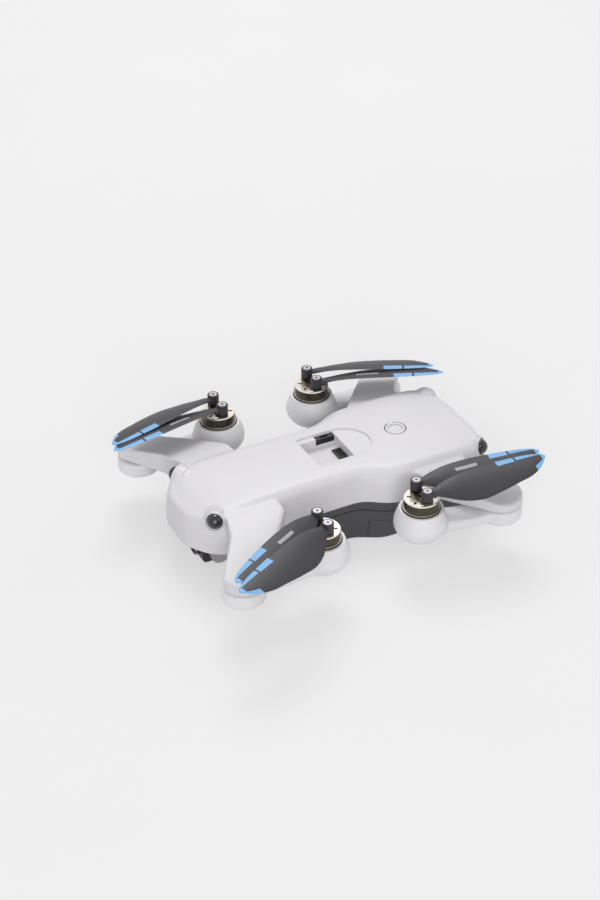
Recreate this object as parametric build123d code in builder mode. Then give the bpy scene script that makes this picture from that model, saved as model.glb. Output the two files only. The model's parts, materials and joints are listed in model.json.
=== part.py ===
"""Folding four-rotor camera quadcopter, stored folded: arms in, blades lying along the arms.

Frame: +X to the nose, +Y to the craft's left, +Z up, origin on the belly's flat underside,
below the middle of the body. Sizes are in millimetres.
"""

from math import atan2, cos, hypot, radians, sin
import os

from build123d import *

# ---------------------------------------------------------------- driving dimensions
# heights above the surface the craft stands on
lip_z = 48.0  # rims of the four motor pods
crown_z = lip_z + 8.0  # flat of the upper shell
shoulder_z = lip_z + 4.0  # where the side walls turn into the crown
flank_z = lip_z - 3.0  # widest line of the flanks is below this
hem_z = lip_z - 13.0  # lower edge of the upper shell
chin_z = lip_z - 22.0  # lower edge of the nose
chin_back_x = 43.0
bay_roof_z = 18.3  # roof of the battery bay
wall = 2.0  # all moulded shells

# plan
motor_x = 35.25  # motor axes, fore and aft of the middle when folded
motor_y = 74.5
knuckle_x = 92.0  # arm hinges
knuckle_y = 79.0
knuckle_r = 14.0
outline_r = 9.0  # rounding of the plan outlines

# arm and pod
bell_r = 11.5
bell_lip = 0.5  # the bell's lower lip stands out this far
bell_clear = 0.65  # from that lip to the pod's mouth
pod_mouth_r = bell_r + bell_lip + bell_clear
pod_rim_wall = 1.25
pod_belly_out = 3.1  # the pod's widest line beyond its rim
pod_rim_r = pod_mouth_r + pod_rim_wall
pod_widest_r = pod_rim_r + pod_belly_out
pod_widest_drop = 12.5
pod_foot_r = 9.5
pod_depth = 22.0
pod_floor_z = lip_z - 14.0
beam_half = 9.0
beam_drop_root = 12.4  # top of the beam under the rim, at the hinge end
beam_drop_pod = 8.5
beam_under = 20.0
arm_pin_r = 3.0
pin_play = 0.05
part_gap = 0.3  # between pieces that pass each other
ear_floor_z = lip_z - 12.0

# motor, hub and blades
bell_wall = 0.9
air_gap = 0.8  # between the stator and the bell
bell_top_z = lip_z + 7.9
shaft_r = 1.5
stator_r = bell_r - bell_wall - air_gap
stator_tooth = (6.0, 3.4)
stator_core_r = stator_r - 4.6
stator_base = 1.6
bearing_r = 3.4
post_y = 7.0  # blade hinges, either side of the rotor axis
eye_r = 3.8
eye_z = bell_top_z + 2.0
eye_height = 7.0
blade_screw_r = 1.25
blade_head_r = 2.7
blade_head_play = 0.3
blade_head_depth = 1.0
blade_thick = 1.5
blade_root_thick = 3.0
blade_axis_rise = 3.6  # middle of the blade's root above the foot of its screw eye

arm_length = hypot(knuckle_x - motor_x, knuckle_y - motor_y)
beam_low_z = lip_z - pod_depth
bell_low_z = lip_z - 8.5
core_z = (lip_z - 8.0, lip_z + 3.0)
hub_h = 1.7

# blades fold this far outwards of straight, at rest (degrees)
blade_rest = {"front_left": 28.0, "rear_left": 4.0, "front_right": -12.5, "rear_right": -23.0}
# each blade of a pair leans towards the other by this, so the tips close up
blade_toe = {"front_left": 1.6, "rear_left": 2.5, "front_right": 2.5, "rear_right": 1.3}

# corner eyes
corner_x = {"front": 88.5, "rear": -103.0}
corner_y = {"front": 29.5, "rear": 36.0}
corner_eye_z = lip_z + 0.5
corner_eye_azimuth = 52.0  # from the nose or tail direction, outwards
corner_eye_up = 12.0
corner_eye_r = 5.2
bezel_width = 1.2
socket_wall = 1.6
socket_r = corner_eye_r + bezel_width + socket_wall
eye_seat = 3.5  # the eyes' blind sockets are this deep
socket_back = 7.0
socket_floor = 2.0
socket_proud = 1.0
dome_back = 1.5

# top fittings
pocket_x = (-20.5, 5.5)
pocket_half = 13.5
pocket_floor_z = lip_z + 0.6
catch_x = (-16.0, -2.0)
catch_depth = 4.0
catch_floor_z = pocket_floor_z + 2.2
catch_thick = 2.0
socket_x = (-20.2, -14.2)  # electrical contacts on the pocket's floor
socket_y = (-6.0, 5.0)
socket_height = 1.2
seat_half = 18.0
seat_depth = 0.5
seat_front_x = 7.0
button_x = -58.4
button_r = 4.75
button_play = 0.2
ring_r = (6.6, 7.4)

# battery
battery_front_x = -20.0
battery_back_x = -103.0
tongue_neck_half = 12.0
tongue_head_half = 16.0
tongue_z = (bay_roof_z + 1.9, bay_roof_z + 4.7)
deck_z = tongue_z[1] + 2.5  # inner deck above the battery bay
contact_half = 12.0
contact_z = (5.0, 11.0)
latch_half = 9.0
latch_z = (6.0, 12.0)
latch_play = 0.2
cell_pitch = 4.6
cell_count = 3
cell_play = 0.05
cell_half = 30.0
cells_top_z = wall + cell_count * cell_pitch + 0.2

# gimbal camera
tilt_x = 78.0
gimbal_z = 13.0
camera_size = (20.0, 22.0, 18.0)
roll_motor_r = 7.5
roll_motor_x = (50.0, 60.0)
floor_plate_z = chin_z + 2.0
plate_gap = 2.5  # between the nose plate and the nose's walls, before the walls lean in
gimbal_plate_z = floor_plate_z - 3.5
yoke_thick = 3.0
gimbal_shaft_r = 2.0

corners = {
    "front_left": (1, 1),
    "front_right": (1, -1),
    "rear_left": (-1, 1),
    "rear_right": (-1, -1),
}

# belly fittings and boards
sensor_x = 17.0
sensor_size = (30.0, 20.0)
sensor_recess = 1.2
sensor_eye_step = 8.0
board_spots = [(-80, 20), (-80, -20), (-30, 20), (-30, -20)]
standoff_h = 3.5
board_thick = 1.6
screw_head_r = 1.9
screw_head_h = 1.3
screw_play = 0.1

# plan outlines of the body, left half from nose to tail, one list per level
hem_outline = [(105, 16), (94, 32), (81, 38), (50, 36.5), (-14, 35.5), (-31, 48),
               (-92, 46.5), (-105, 37), (-110, 20)]
flank_outline = [(104, 16), (93, 31.5), (80, 36.5), (50, 34.5), (-14, 33.5), (-32, 46),
                 (-91, 44.5), (-104, 35.5), (-109.5, 19.5)]
shoulder_outline = [(98, 14), (88, 27.5), (78, 32), (50, 30.5), (-15, 30.5), (-34, 40),
                    (-89, 38.5), (-101, 31), (-107, 17)]
crown_outline = [(86, 12), (78, 21), (71, 25), (48, 24.5), (-16, 24.5), (-37, 32),
                 (-86, 31), (-96, 25), (-101, 14)]
belly_top = [(42, 34.2), (-13, 34), (-30, 46.3), (-92, 44.8), (-104, 35.5)]
belly_bottom = [(36, 26), (-13, 27), (-30, 37), (-90, 36), (-99, 28)]

os.makedirs("parts", exist_ok=True)


def keep(piece, name):
    """Label a finished piece and write it."""
    piece.part.label = name
    export_step(piece.part, f"parts/{name}.step")


def outline(z, half, radius=outline_r, inset=0.0):
    """A closed plan outline at height z from its left half, with rounded corners."""
    with BuildSketch(Plane.XY.offset(z)) as sketch:
        with BuildLine():
            Polyline(half + [(x, -y) for x, y in reversed(half)], close=True)
        make_face()
        fillet(sketch.vertices(), radius)
        if inset:
            offset(amount=-inset)
    return sketch.sketch


def box_between(low, high, mode=Mode.ADD):
    """A box from its lowest to its highest corner."""
    size = [b - a for a, b in zip(low, high)]
    with Locations(tuple((a + b) / 2 for a, b in zip(low, high))):
        Box(*size, mode=mode)


# ---------------------------------------------------------------- upper shell
def body_form(inset=0.0, top_drop=0.0, foot=0.0):
    """The body's form from hem to crown, with the deeper nose; inset makes the inside."""
    with BuildPart() as form:
        loft([
            outline(hem_z - foot, hem_outline, inset=inset),
            outline(flank_z, flank_outline, inset=inset),
            outline(shoulder_z - top_drop / 2, shoulder_outline, inset=inset),
            outline(crown_z - top_drop, crown_outline, inset=inset),
        ], ruled=True)
    with BuildPart() as nose:
        extrude(outline(hem_z - foot / 2, hem_outline, inset=inset),
                amount=-(hem_z - chin_z + foot), dir=(0, 0, 1))
        box_between((-200, -100, 0), (chin_back_x - inset, 100, 100), mode=Mode.SUBTRACT)
    with BuildPart() as whole:
        add(form.part)
        add(nose.part)
    return whole.part


def corner_plane(end, side, back=0.0):
    """The plane of a corner eye, facing out and a little up; back sets it into the body."""
    fore = 1 if end == "front" else -1
    az = radians(corner_eye_azimuth)
    up = radians(corner_eye_up)
    normal = Vector(fore * cos(az) * cos(up), side * sin(az) * cos(up), sin(up))
    origin = Vector(corner_x[end], side * corner_y[end], corner_eye_z) - normal * back
    return Plane(origin=origin, z_dir=normal)


def ear(fore, side):
    """A shoulder that carries one arm hinge: plan lobe cut by its sloping top."""
    lobe = [(48, 26), (48, 41), (58, 56)]
    reach = hypot(knuckle_x - 58, knuckle_y - 56)
    turn = atan2(knuckle_y - 56, knuckle_x - 58)
    touch = (reach ** 2 - knuckle_r ** 2) ** 0.5
    lean = atan2(knuckle_r, touch)
    lobe.append((58 + touch * cos(turn + lean), 56 + touch * sin(turn + lean)))
    lobe += [(knuckle_x, knuckle_y), (knuckle_x + knuckle_r, knuckle_y), (91, 50), (88, 26)]
    with BuildPart() as piece:
        with BuildSketch(Plane.XY.offset(ear_floor_z)):
            with BuildLine():
                Polyline([(fore * x, side * y) for x, y in lobe], close=True)
            make_face()
            with Locations((fore * knuckle_x, side * knuckle_y)):
                Circle(knuckle_r)
        extrude(amount=20)
        with BuildSketch(Plane.YZ) as slope:
            with BuildLine():
                Polyline([(side * 20, 0), (side * 20, lip_z + 3.5), (side * 45, lip_z + 2.5),
                          (side * (knuckle_y + 8), lip_z - 4.5),
                          (side * (knuckle_y + knuckle_r + 1), lip_z - 7.5),
                          (side * (knuckle_y + knuckle_r + 1), 0)], close=True)
            make_face()
        extrude(slope.sketch, amount=150, both=True, mode=Mode.INTERSECT)
    return piece.part


boss_spots = [(84, 20), (84, -20), (-92, 27), (-92, -27)]
boss_r = 3.2
shell_screw_r = 0.9
screw_sink = 2.0  # the rear screws' heads lie sunk in the battery bay's roof
screw_reach = 30.0


def screw_seat_z(x):
    """Where a shell screw's head bears: under the nose plate, or in the bay's roof."""
    return floor_plate_z if x > 0 else bay_roof_z + screw_sink


with BuildPart() as upper_shell:
    add(body_form())
    for fore, side in corners.values():
        add(ear(fore, side))
    for end in corner_x:
        for side in (1, -1):
            with BuildSketch(corner_plane(end, side, back=socket_back)):
                Circle(socket_r)
            extrude(amount=socket_back + socket_proud)
    add(body_form(inset=wall, top_drop=wall, foot=0.5), mode=Mode.SUBTRACT)
    # the eyes sit in blind sockets that stay backed by the shell
    for end in corner_x:
        for side in (1, -1):
            with BuildSketch(corner_plane(end, side, back=socket_back)):
                Circle(socket_r - 0.4)
            extrude(amount=socket_back - socket_floor)
            with BuildSketch(corner_plane(end, side, back=eye_seat)):
                Circle(corner_eye_r + bezel_width)
            extrude(amount=10, mode=Mode.SUBTRACT)
    # well of the accessory pocket, then the shallow seat and the pocket itself
    box_between((pocket_x[0] - wall, -pocket_half - catch_depth - wall, pocket_floor_z - wall),
                (pocket_x[1] + wall, pocket_half + wall, crown_z - seat_depth))
    with BuildSketch(Plane.XY.offset(crown_z - seat_depth)):
        with Locations(((pocket_x[0] + seat_front_x) / 2, 0)):
            Rectangle(seat_front_x - pocket_x[0], 2 * seat_half)
        with Locations((pocket_x[0], 0)):
            Circle(seat_half)
    extrude(amount=5, mode=Mode.SUBTRACT)
    box_between((pocket_x[0], -pocket_half, pocket_floor_z),
                (pocket_x[1], pocket_half, crown_z + 5), mode=Mode.SUBTRACT)
    # notch for the catch, open to the top and to the pocket
    box_between((catch_x[0], -pocket_half - catch_depth, catch_floor_z),
                (catch_x[1], -pocket_half + 1, crown_z + 5), mode=Mode.SUBTRACT)
    # power button and its light slot
    with Locations((button_x, 0, crown_z)):
        Cylinder(button_r + button_play, 10, mode=Mode.SUBTRACT)
    with BuildSketch(Plane.XY.offset(crown_z - 1.2)):
        with Locations((button_x, 0)):
            Circle(ring_r[1])
            Circle(ring_r[0], mode=Mode.SUBTRACT)
        with Locations((button_x, -ring_r[1])):
            Rectangle(3, 4, mode=Mode.SUBTRACT)
    extrude(amount=3, mode=Mode.SUBTRACT)
    # guide that carries the button from below
    with BuildSketch(Plane.XY.offset(crown_z - 7)):
        with Locations((button_x, 0)):
            Circle(8)
            Circle(button_r + button_play, mode=Mode.SUBTRACT)
    extrude(amount=7 - wall)
    # screw bosses down to the belly
    for x, y in boss_spots:
        foot_z = floor_plate_z + wall if x > 0 else deck_z
        with BuildSketch(Plane.XY.offset(foot_z)):
            with Locations((x, y)):
                Circle(boss_r)
                Circle(shell_screw_r, mode=Mode.SUBTRACT)
        extrude(amount=crown_z - wall - foot_z)
    # hinge pin bores
    for fore, side in corners.values():
        with Locations((fore * knuckle_x, side * knuckle_y, ear_floor_z + 4)):
            Cylinder(arm_pin_r, 8, mode=Mode.SUBTRACT)
keep(upper_shell, "upper_shell")


# ---------------------------------------------------------------- belly shell
def nose_plate():
    """The plate under the nose, inside the nose walls, that carries the camera."""
    with BuildPart() as plate:
        extrude(outline(floor_plate_z, flank_outline, inset=wall + plate_gap), amount=wall)
        box_between((-200, -100, 0), (38, 100, 100), mode=Mode.SUBTRACT)
    return plate.part


def belly_hollow():
    """The room above the deck, and the deeper room ahead of the battery."""
    with BuildPart() as hollow:
        loft([outline(wall, belly_bottom, inset=wall), outline(hem_z + 1, belly_top, inset=wall)],
             ruled=True)
        box_between((-200, -100, 0), (battery_front_x + wall, 100, deck_z), mode=Mode.SUBTRACT)
    return hollow.part


with BuildPart() as belly_shell:
    loft([outline(0, belly_bottom), outline(hem_z, belly_top)], ruled=True)
    # battery bay with its undercut channel
    box_between((-200, -100, -1), (battery_front_x, 100, bay_roof_z), mode=Mode.SUBTRACT)
    box_between((-200, -tongue_neck_half - part_gap, bay_roof_z - 1),
                (battery_front_x, tongue_neck_half + part_gap, tongue_z[1]), mode=Mode.SUBTRACT)
    box_between((-200, -tongue_head_half - part_gap, tongue_z[0] - part_gap),
                (battery_front_x, tongue_head_half + part_gap, tongue_z[1] + part_gap),
                mode=Mode.SUBTRACT)
    add(belly_hollow(), mode=Mode.SUBTRACT)
    add(nose_plate())
    # opening for the battery's contacts
    box_between((battery_front_x - 1, -contact_half - 1, contact_z[0] - 1),
                (battery_front_x + wall + 1, contact_half + 1, contact_z[1] + 1),
                mode=Mode.SUBTRACT)
    # recess of the downward sensor window
    box_between((sensor_x - sensor_size[0] / 2, -sensor_size[1] / 2, -1),
                (sensor_x + sensor_size[0] / 2, sensor_size[1] / 2, sensor_recess),
                mode=Mode.SUBTRACT)
    # standoffs for the main board
    with BuildSketch(Plane.XY.offset(deck_z)):
        with Locations(*board_spots):
            Circle(2.2)
    extrude(amount=standoff_h)
    # screw holes under the bosses, sunk for the heads beside the battery
    for x, y in boss_spots:
        with Locations((x, y, screw_seat_z(x) + screw_reach / 2 - 2)):
            Cylinder(shell_screw_r + screw_play, screw_reach, mode=Mode.SUBTRACT)
        if x < 0:
            with Locations((x, y, screw_seat_z(x) - screw_sink / 2)):
                Cylinder(screw_head_r + 0.2, screw_sink, mode=Mode.SUBTRACT)
keep(belly_shell, "belly_shell")

with BuildPart() as shell_screws:
    for x, y in boss_spots:
        seat_z = screw_seat_z(x)
        length = 14 if x > 0 else 18
        with Locations((x, y, seat_z + length / 2)):
            Cylinder(shell_screw_r, length)
        with Locations((x, y, seat_z - screw_head_h / 2)):
            Cylinder(screw_head_r, screw_head_h)
keep(shell_screws, "shell_screws")

# ---------------------------------------------------------------- fittings of the body
with BuildPart() as hinge_pins:
    for fore, side in corners.values():
        x, y = fore * knuckle_x, side * knuckle_y
        low, high = beam_low_z - part_gap, ear_floor_z + 8
        with Locations((x, y, (low + high) / 2)):
            Cylinder(arm_pin_r, high - low)
        with Locations((x, y, low - 0.9)):
            Cylinder(5.2, 1.8)
keep(hinge_pins, "arm_hinge_pins")

with BuildPart() as bezels:
    for end in corner_x:
        for side in (1, -1):
            with BuildSketch(corner_plane(end, side, back=eye_seat)):
                Circle(corner_eye_r + bezel_width)
                Circle(corner_eye_r, mode=Mode.SUBTRACT)
            extrude(amount=eye_seat - part_gap)
keep(bezels, "corner_eye_bezels")

with BuildPart() as eyes:
    for end in corner_x:
        for side in (1, -1):
            with BuildSketch(corner_plane(end, side, back=eye_seat)):
                Circle(corner_eye_r)
            extrude(amount=eye_seat - dome_back)
            with Locations(corner_plane(end, side, back=dome_back)):
                Sphere(corner_eye_r, arc_size1=0, align=(Align.CENTER, Align.CENTER, Align.NONE))
keep(eyes, "corner_eyes")

with BuildPart() as light_ring:
    with BuildSketch(Plane.XY.offset(crown_z - 1.2)):
        with Locations((button_x, 0)):
            Circle(ring_r[1])
            Circle(ring_r[0], mode=Mode.SUBTRACT)
        with Locations((button_x, -ring_r[1])):
            Rectangle(3, 4, mode=Mode.SUBTRACT)
    extrude(amount=1.2)
keep(light_ring, "button_light_ring")

with BuildPart() as power_button:
    with Locations((button_x, 0, crown_z - 3)):
        Cylinder(button_r, 6)
    # collar below the guide keeps the button in
    with Locations((button_x, 0, crown_z - 8.3)):
        Cylinder(button_r + 1.5, 2)
    with Locations((button_x, 0, crown_z - 6.7)):
        Cylinder(button_r, 1.4)
    fillet(power_button.faces().sort_by(Axis.Z)[-1].edges(), 0.3)
keep(power_button, "power_button")

with BuildPart() as contact_socket:
    box_between((socket_x[0], socket_y[0], pocket_floor_z),
                (socket_x[1], socket_y[1], pocket_floor_z + socket_height))
    box_between((socket_x[0] + 1, socket_y[0] + 1, pocket_floor_z + 0.5),
                (socket_x[1] - 1, socket_y[1] - 1, pocket_floor_z + socket_height + 1),
                mode=Mode.SUBTRACT)
    for i in range(5):
        low_y = socket_y[0] + 1.6 + i * 1.8
        box_between((socket_x[0] + 1.5, low_y, pocket_floor_z + 0.5),
                    (socket_x[1] - 1.5, low_y + 0.6, pocket_floor_z + 1.0))
keep(contact_socket, "accessory_contact_socket")

with BuildPart() as accessory_latch_plate:
    box_between((catch_x[0] + 0.2, -pocket_half - catch_depth + 0.2, catch_floor_z),
                (catch_x[1] - 0.2, -pocket_half - 0.2, catch_floor_z + catch_thick))
keep(accessory_latch_plate, "accessory_catch_plate")

with BuildPart() as main_board:
    box_between((-86, -25, deck_z + standoff_h), (-24, 25, deck_z + standoff_h + board_thick))
    for x, y, w, d, h in [(-70, 0, 16, 16, 2.0), (-45, 6, 12, 12, 1.6), (-48, -14, 18, 8, 3.0)]:
        with Locations((x, y, deck_z + standoff_h + board_thick + h / 2)):
            Box(w, d, h)
keep(main_board, "main_board")

with BuildPart() as speed_board:
    box_between((-14, -18, wall), (32, 18, wall + board_thick))
    for i in range(4):
        with Locations((-8 + i * 11, 0, wall + board_thick + 1.0)):
            Box(6, 12, 2.0)
keep(speed_board, "speed_controller_board")

with BuildPart() as gps:
    box_between((24, -13, crown_z - wall - 6), (50, 13, crown_z - wall))
keep(gps, "positioning_module")

with BuildPart() as sensor_cover:
    box_between((sensor_x - sensor_size[0] / 2, -sensor_size[1] / 2, 0.3),
                (sensor_x + sensor_size[0] / 2, sensor_size[1] / 2, sensor_recess))
    for i in (-1, 1):
        with Locations((sensor_x + i * sensor_eye_step, 0, 0.4)):
            Cylinder(3.6, 0.8, mode=Mode.SUBTRACT)
keep(sensor_cover, "downward_sensor_window")

with BuildPart() as sensor_eyes:
    for i in (-1, 1):
        with Locations((sensor_x + i * sensor_eye_step, 0, 0.6)):
            Cylinder(3.6, 0.4)
keep(sensor_eyes, "downward_sensor_lenses")

# ---------------------------------------------------------------- gimbal camera
damper_spots = [(49, 12), (49, -12), (61, 12), (61, -12)]

with BuildPart() as dampers:
    for x, y in damper_spots:
        with BuildSketch(Plane.XZ.offset(-y)):
            with BuildLine():
                Polyline([(x, gimbal_plate_z + 1.5), (x + 2, gimbal_plate_z + 1.5),
                          (x + 3, (gimbal_plate_z + 1.5 + floor_plate_z) / 2),
                          (x + 2, floor_plate_z), (x, floor_plate_z)], close=True)
            make_face()
        revolve(axis=Axis((x, y, 0), (0, 0, 1)))
keep(dampers, "gimbal_dampers")

with BuildPart() as gimbal_base:
    box_between((45, -16, gimbal_plate_z), (65, 16, gimbal_plate_z + 1.5))
    with BuildSketch(Plane.YZ.offset(roll_motor_x[0])):
        with Locations((0, gimbal_z)):
            Circle(roll_motor_r)
        with Locations((0, (gimbal_z + gimbal_plate_z) / 2)):
            Rectangle(9, gimbal_plate_z - gimbal_z)
    extrude(amount=roll_motor_x[1] - roll_motor_x[0])
    with BuildSketch(Plane.YZ.offset(roll_motor_x[0] + 2)):
        with Locations((0, gimbal_z)):
            Circle(gimbal_shaft_r + pin_play)
    extrude(amount=20, mode=Mode.SUBTRACT)
keep(gimbal_base, "gimbal_base")

yoke_back = roll_motor_x[1] + part_gap
yoke_y = camera_size[1] / 2 + 2.0

with BuildPart() as roll_yoke:
    with BuildSketch(Plane.YZ.offset(yoke_back)):
        with Locations((0, gimbal_z)):
            Circle(7)
        with Locations(((yoke_y + yoke_thick) / 2, gimbal_z)):
            Rectangle(yoke_y + yoke_thick, 10)
    extrude(amount=yoke_thick)
    with BuildSketch(Plane.YZ.offset(yoke_back - 7)):
        with Locations((0, gimbal_z)):
            Circle(gimbal_shaft_r)
    extrude(amount=8)
    box_between((yoke_back, yoke_y, gimbal_z - 5), (tilt_x, yoke_y + yoke_thick, gimbal_z + 5))
    with BuildSketch(Plane.XZ.offset(-yoke_y)):
        with Locations((tilt_x, gimbal_z)):
            Circle(7)
    extrude(amount=-yoke_thick - 1.5)
    with BuildSketch(Plane.XZ.offset(-yoke_y + 1)):
        with Locations((tilt_x, gimbal_z)):
            Circle(gimbal_shaft_r + pin_play)
    extrude(amount=-4.5, mode=Mode.SUBTRACT)
keep(roll_yoke, "gimbal_roll_yoke")

with BuildPart() as camera_body:
    with Locations((tilt_x, 0, gimbal_z)):
        Box(*camera_size)
    fillet(camera_body.edges().filter_by(Axis.Y), 3)
    fillet(camera_body.faces().sort_by(Axis.X)[-1].edges(), 0.8)
    with BuildSketch(Plane.YZ.offset(tilt_x + camera_size[0] / 2 - 1)):
        with Locations((0, gimbal_z)):
            Circle(7)
    extrude(amount=3)
    with BuildSketch(Plane.YZ.offset(tilt_x + camera_size[0] / 2 + 0.4)):
        with Locations((0, gimbal_z)):
            Circle(5.6)
    extrude(amount=4, mode=Mode.SUBTRACT)
    with BuildSketch(Plane.XZ.offset(-camera_size[1] / 2 + 1)):
        with Locations((tilt_x, gimbal_z)):
            Circle(gimbal_shaft_r)
    extrude(amount=-6)
keep(camera_body, "camera_housing")

with BuildPart() as camera_lens:
    with BuildSketch(Plane.YZ.offset(tilt_x + camera_size[0] / 2 + 0.4)):
        with Locations((0, gimbal_z)):
            Circle(5.6)
    extrude(amount=1.0)
keep(camera_lens, "camera_lens")

# ---------------------------------------------------------------- battery
battery_under = [(battery_front_x - part_gap, 31), (battery_front_x - 10.3, 36.6),
                 (battery_back_x + 13, 35.6), (battery_back_x + 1, 27.5)]
battery_over = [(battery_front_x - part_gap, 35), (battery_front_x - 10.3, 41.4), (battery_back_x + 12, 40),
                (battery_back_x - 1, 30)]

with BuildPart() as battery_case:
    loft([outline(0, battery_under, radius=5), outline(bay_roof_z - part_gap, battery_over, radius=5)],
         ruled=True)
    box_between((battery_back_x + 5, -tongue_neck_half, bay_roof_z - 1),
                (battery_front_x - 1, tongue_neck_half, tongue_z[1]))
    box_between((battery_back_x + 5, -tongue_head_half, tongue_z[0]),
                (battery_front_x - 1, tongue_head_half, tongue_z[1]))
    # room for the cells
    box_between((battery_back_x + 7, -cell_half, wall), (battery_front_x - 6, cell_half, cells_top_z),
                mode=Mode.SUBTRACT)
    # contact well in the front
    box_between((battery_front_x - 4, -contact_half, contact_z[0]),
                (battery_front_x + 1, contact_half, contact_z[1]), mode=Mode.SUBTRACT)
    # latch guide through the back wall
    box_between((battery_back_x - 1, -latch_half - latch_play, latch_z[0] - latch_play),
                (battery_back_x + 8, latch_half + latch_play, latch_z[1] + latch_play), mode=Mode.SUBTRACT)
keep(battery_case, "battery_case")

with BuildPart() as cells:
    for i in range(cell_count):
        low = wall + i * cell_pitch
        box_between((battery_back_x + 10.5, -cell_half, low),
                    (battery_front_x - 6, cell_half, low + cell_pitch - cell_play))
keep(cells, "battery_cells")

with BuildPart() as contacts:
    for i in range(5):
        y = -8 + i * 4
        box_between((battery_front_x - 4, y - 0.8, contact_z[0] + 0.5),
                    (battery_front_x - 0.5, y + 0.8, contact_z[1] - 0.5))
keep(contacts, "battery_contacts")

with BuildPart() as latch:
    box_between((battery_back_x - 0.5, -latch_half, latch_z[0]),
                (battery_back_x + 3.5, latch_half, latch_z[1]))
    fillet(latch.faces().sort_by(Axis.X)[0].edges(), 0.6)
keep(latch, "battery_latch")


# ---------------------------------------------------------------- arms
def pod(x, y):
    """The egg-cup motor pod as a solid of revolution."""
    with BuildPart() as cup:
        with BuildSketch(Plane.XZ.offset(-y)):
            with BuildLine():
                Spline([(x + pod_rim_r, lip_z), (x + pod_widest_r, lip_z - pod_widest_drop),
                        (x + pod_foot_r, lip_z - pod_depth)], tangents=[(0.35, -1), (-1, -0.25)])
                Polyline([(x + pod_foot_r, lip_z - pod_depth), (x, lip_z - pod_depth), (x, lip_z),
                          (x + pod_rim_r, lip_z)])
            make_face()
        revolve(axis=Axis((x, y, 0), (0, 0, 1)))
    return cup.part


def beam_plane(fore, side):
    """Upright plane through the hinge and the motor axis; its x runs from hinge to motor."""
    start = Vector(fore * knuckle_x, side * knuckle_y, 0)
    along = Vector(fore * motor_x, side * motor_y, 0) - start
    return Plane(origin=start, x_dir=along, z_dir=along.cross(Vector(0, 0, 1)))


def arm(fore, side):
    """One arm: hinge disc, beam and motor pod, with the hinge bore and the pod's hollow."""
    mx, my = fore * motor_x, side * motor_y
    kx, ky = fore * knuckle_x, side * knuckle_y
    with BuildPart() as piece:
        with BuildSketch(beam_plane(fore, side)) as profile:
            with BuildLine():
                Polyline([(0, lip_z - beam_under), (arm_length, lip_z - beam_under),
                          (arm_length, lip_z - beam_drop_pod),
                          (arm_length - pod_rim_r, lip_z - beam_drop_pod),
                          (knuckle_r + 9, lip_z - beam_drop_root),
                          (0, lip_z - beam_drop_root)], close=True)
            make_face()
        extrude(amount=beam_half, both=True)
        fillet(piece.edges().filter_by(lambda e: e.length > 20), 1.5)
        with BuildSketch(Plane.XY.offset(beam_low_z)):
            with Locations((kx, ky)):
                Circle(knuckle_r)
        extrude(amount=lip_z - beam_drop_root - beam_low_z)
        add(pod(mx, my))
        with BuildSketch(Plane.XY.offset(pod_floor_z)):
            with Locations((mx, my)):
                Circle(pod_mouth_r)
        extrude(amount=40, mode=Mode.SUBTRACT)
        with Locations((kx, ky, lip_z - 18)):
            Cylinder(arm_pin_r + pin_play, 20, mode=Mode.SUBTRACT)
    return piece


# ---------------------------------------------------------------- motors
def stator(x, y):
    """Base plate, bearing tube and the wound core."""
    with BuildPart() as piece:
        with BuildSketch(Plane.XY.offset(pod_floor_z)):
            with Locations((x, y)):
                Circle(pod_mouth_r - 0.4)
        extrude(amount=stator_base)
        with BuildSketch(Plane.XY.offset(pod_floor_z + stator_base)):
            with Locations((x, y)):
                Circle(bearing_r)
        extrude(amount=core_z[1] - pod_floor_z)
        with BuildSketch(Plane.XY.offset(core_z[0])):
            with Locations((x, y)):
                Circle(stator_core_r)
            with Locations((x, y)):
                with PolarLocations(stator_r - stator_tooth[0] / 2 - 0.2, 9):
                    Rectangle(*stator_tooth)
        extrude(amount=core_z[1] - core_z[0])
        with BuildSketch(Plane.XY.offset(pod_floor_z)):
            with Locations((x, y)):
                Circle(shaft_r + pin_play)
        extrude(amount=60, mode=Mode.SUBTRACT)
    return piece


def bell(x, y):
    """The turning bell: slotted top, thin wall, lower lip, magnets and the shaft."""
    with BuildPart() as piece:
        with BuildSketch(Plane.XY.offset(bell_low_z)):
            with Locations((x, y)):
                Circle(bell_r)
                Circle(bell_r - bell_wall, mode=Mode.SUBTRACT)
        extrude(amount=bell_top_z - bell_low_z)
        with BuildSketch(Plane.XY.offset(bell_top_z - 1.5)):
            with Locations((x, y)):
                Circle(bell_r)
                with PolarLocations(bell_r - 3.6, 6, start_angle=30):
                    SlotOverall(4.6, 1.5, mode=Mode.SUBTRACT)
        extrude(amount=1.5)
        # lower lip
        with BuildSketch(Plane.XY.offset(lip_z + 0.4)):
            with Locations((x, y)):
                Circle(bell_r + bell_lip)
                Circle(bell_r - bell_wall, mode=Mode.SUBTRACT)
        extrude(amount=0.8)
        # boss and shaft
        with BuildSketch(Plane.XY.offset(bell_top_z - 3.0)):
            with Locations((x, y)):
                Circle(3.2)
        extrude(amount=2.0)
        with BuildSketch(Plane.XY.offset(pod_floor_z + 1.0)):
            with Locations((x, y)):
                Circle(shaft_r)
        extrude(amount=bell_top_z - pod_floor_z - 2.0)
    return piece


def hub(x, y):
    """Metal carrier on the bell with the two blade seats."""
    with BuildPart() as piece:
        with BuildSketch(Plane.XY.offset(bell_top_z)):
            with Locations((x, y)):
                SlotOverall(2 * (post_y + eye_r), 2 * eye_r, rotation=90)
                Circle(4.6)
        extrude(amount=hub_h)
        with BuildSketch(Plane.XY.offset(bell_top_z + hub_h)):
            with Locations((x, y)):
                Circle(2.3)
        extrude(amount=1.4)
        with BuildSketch(Plane.XY.offset(bell_top_z)):
            with Locations((x, y + post_y), (x, y - post_y)):
                Circle(blade_screw_r)
        extrude(amount=20, mode=Mode.SUBTRACT)
    return piece


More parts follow.
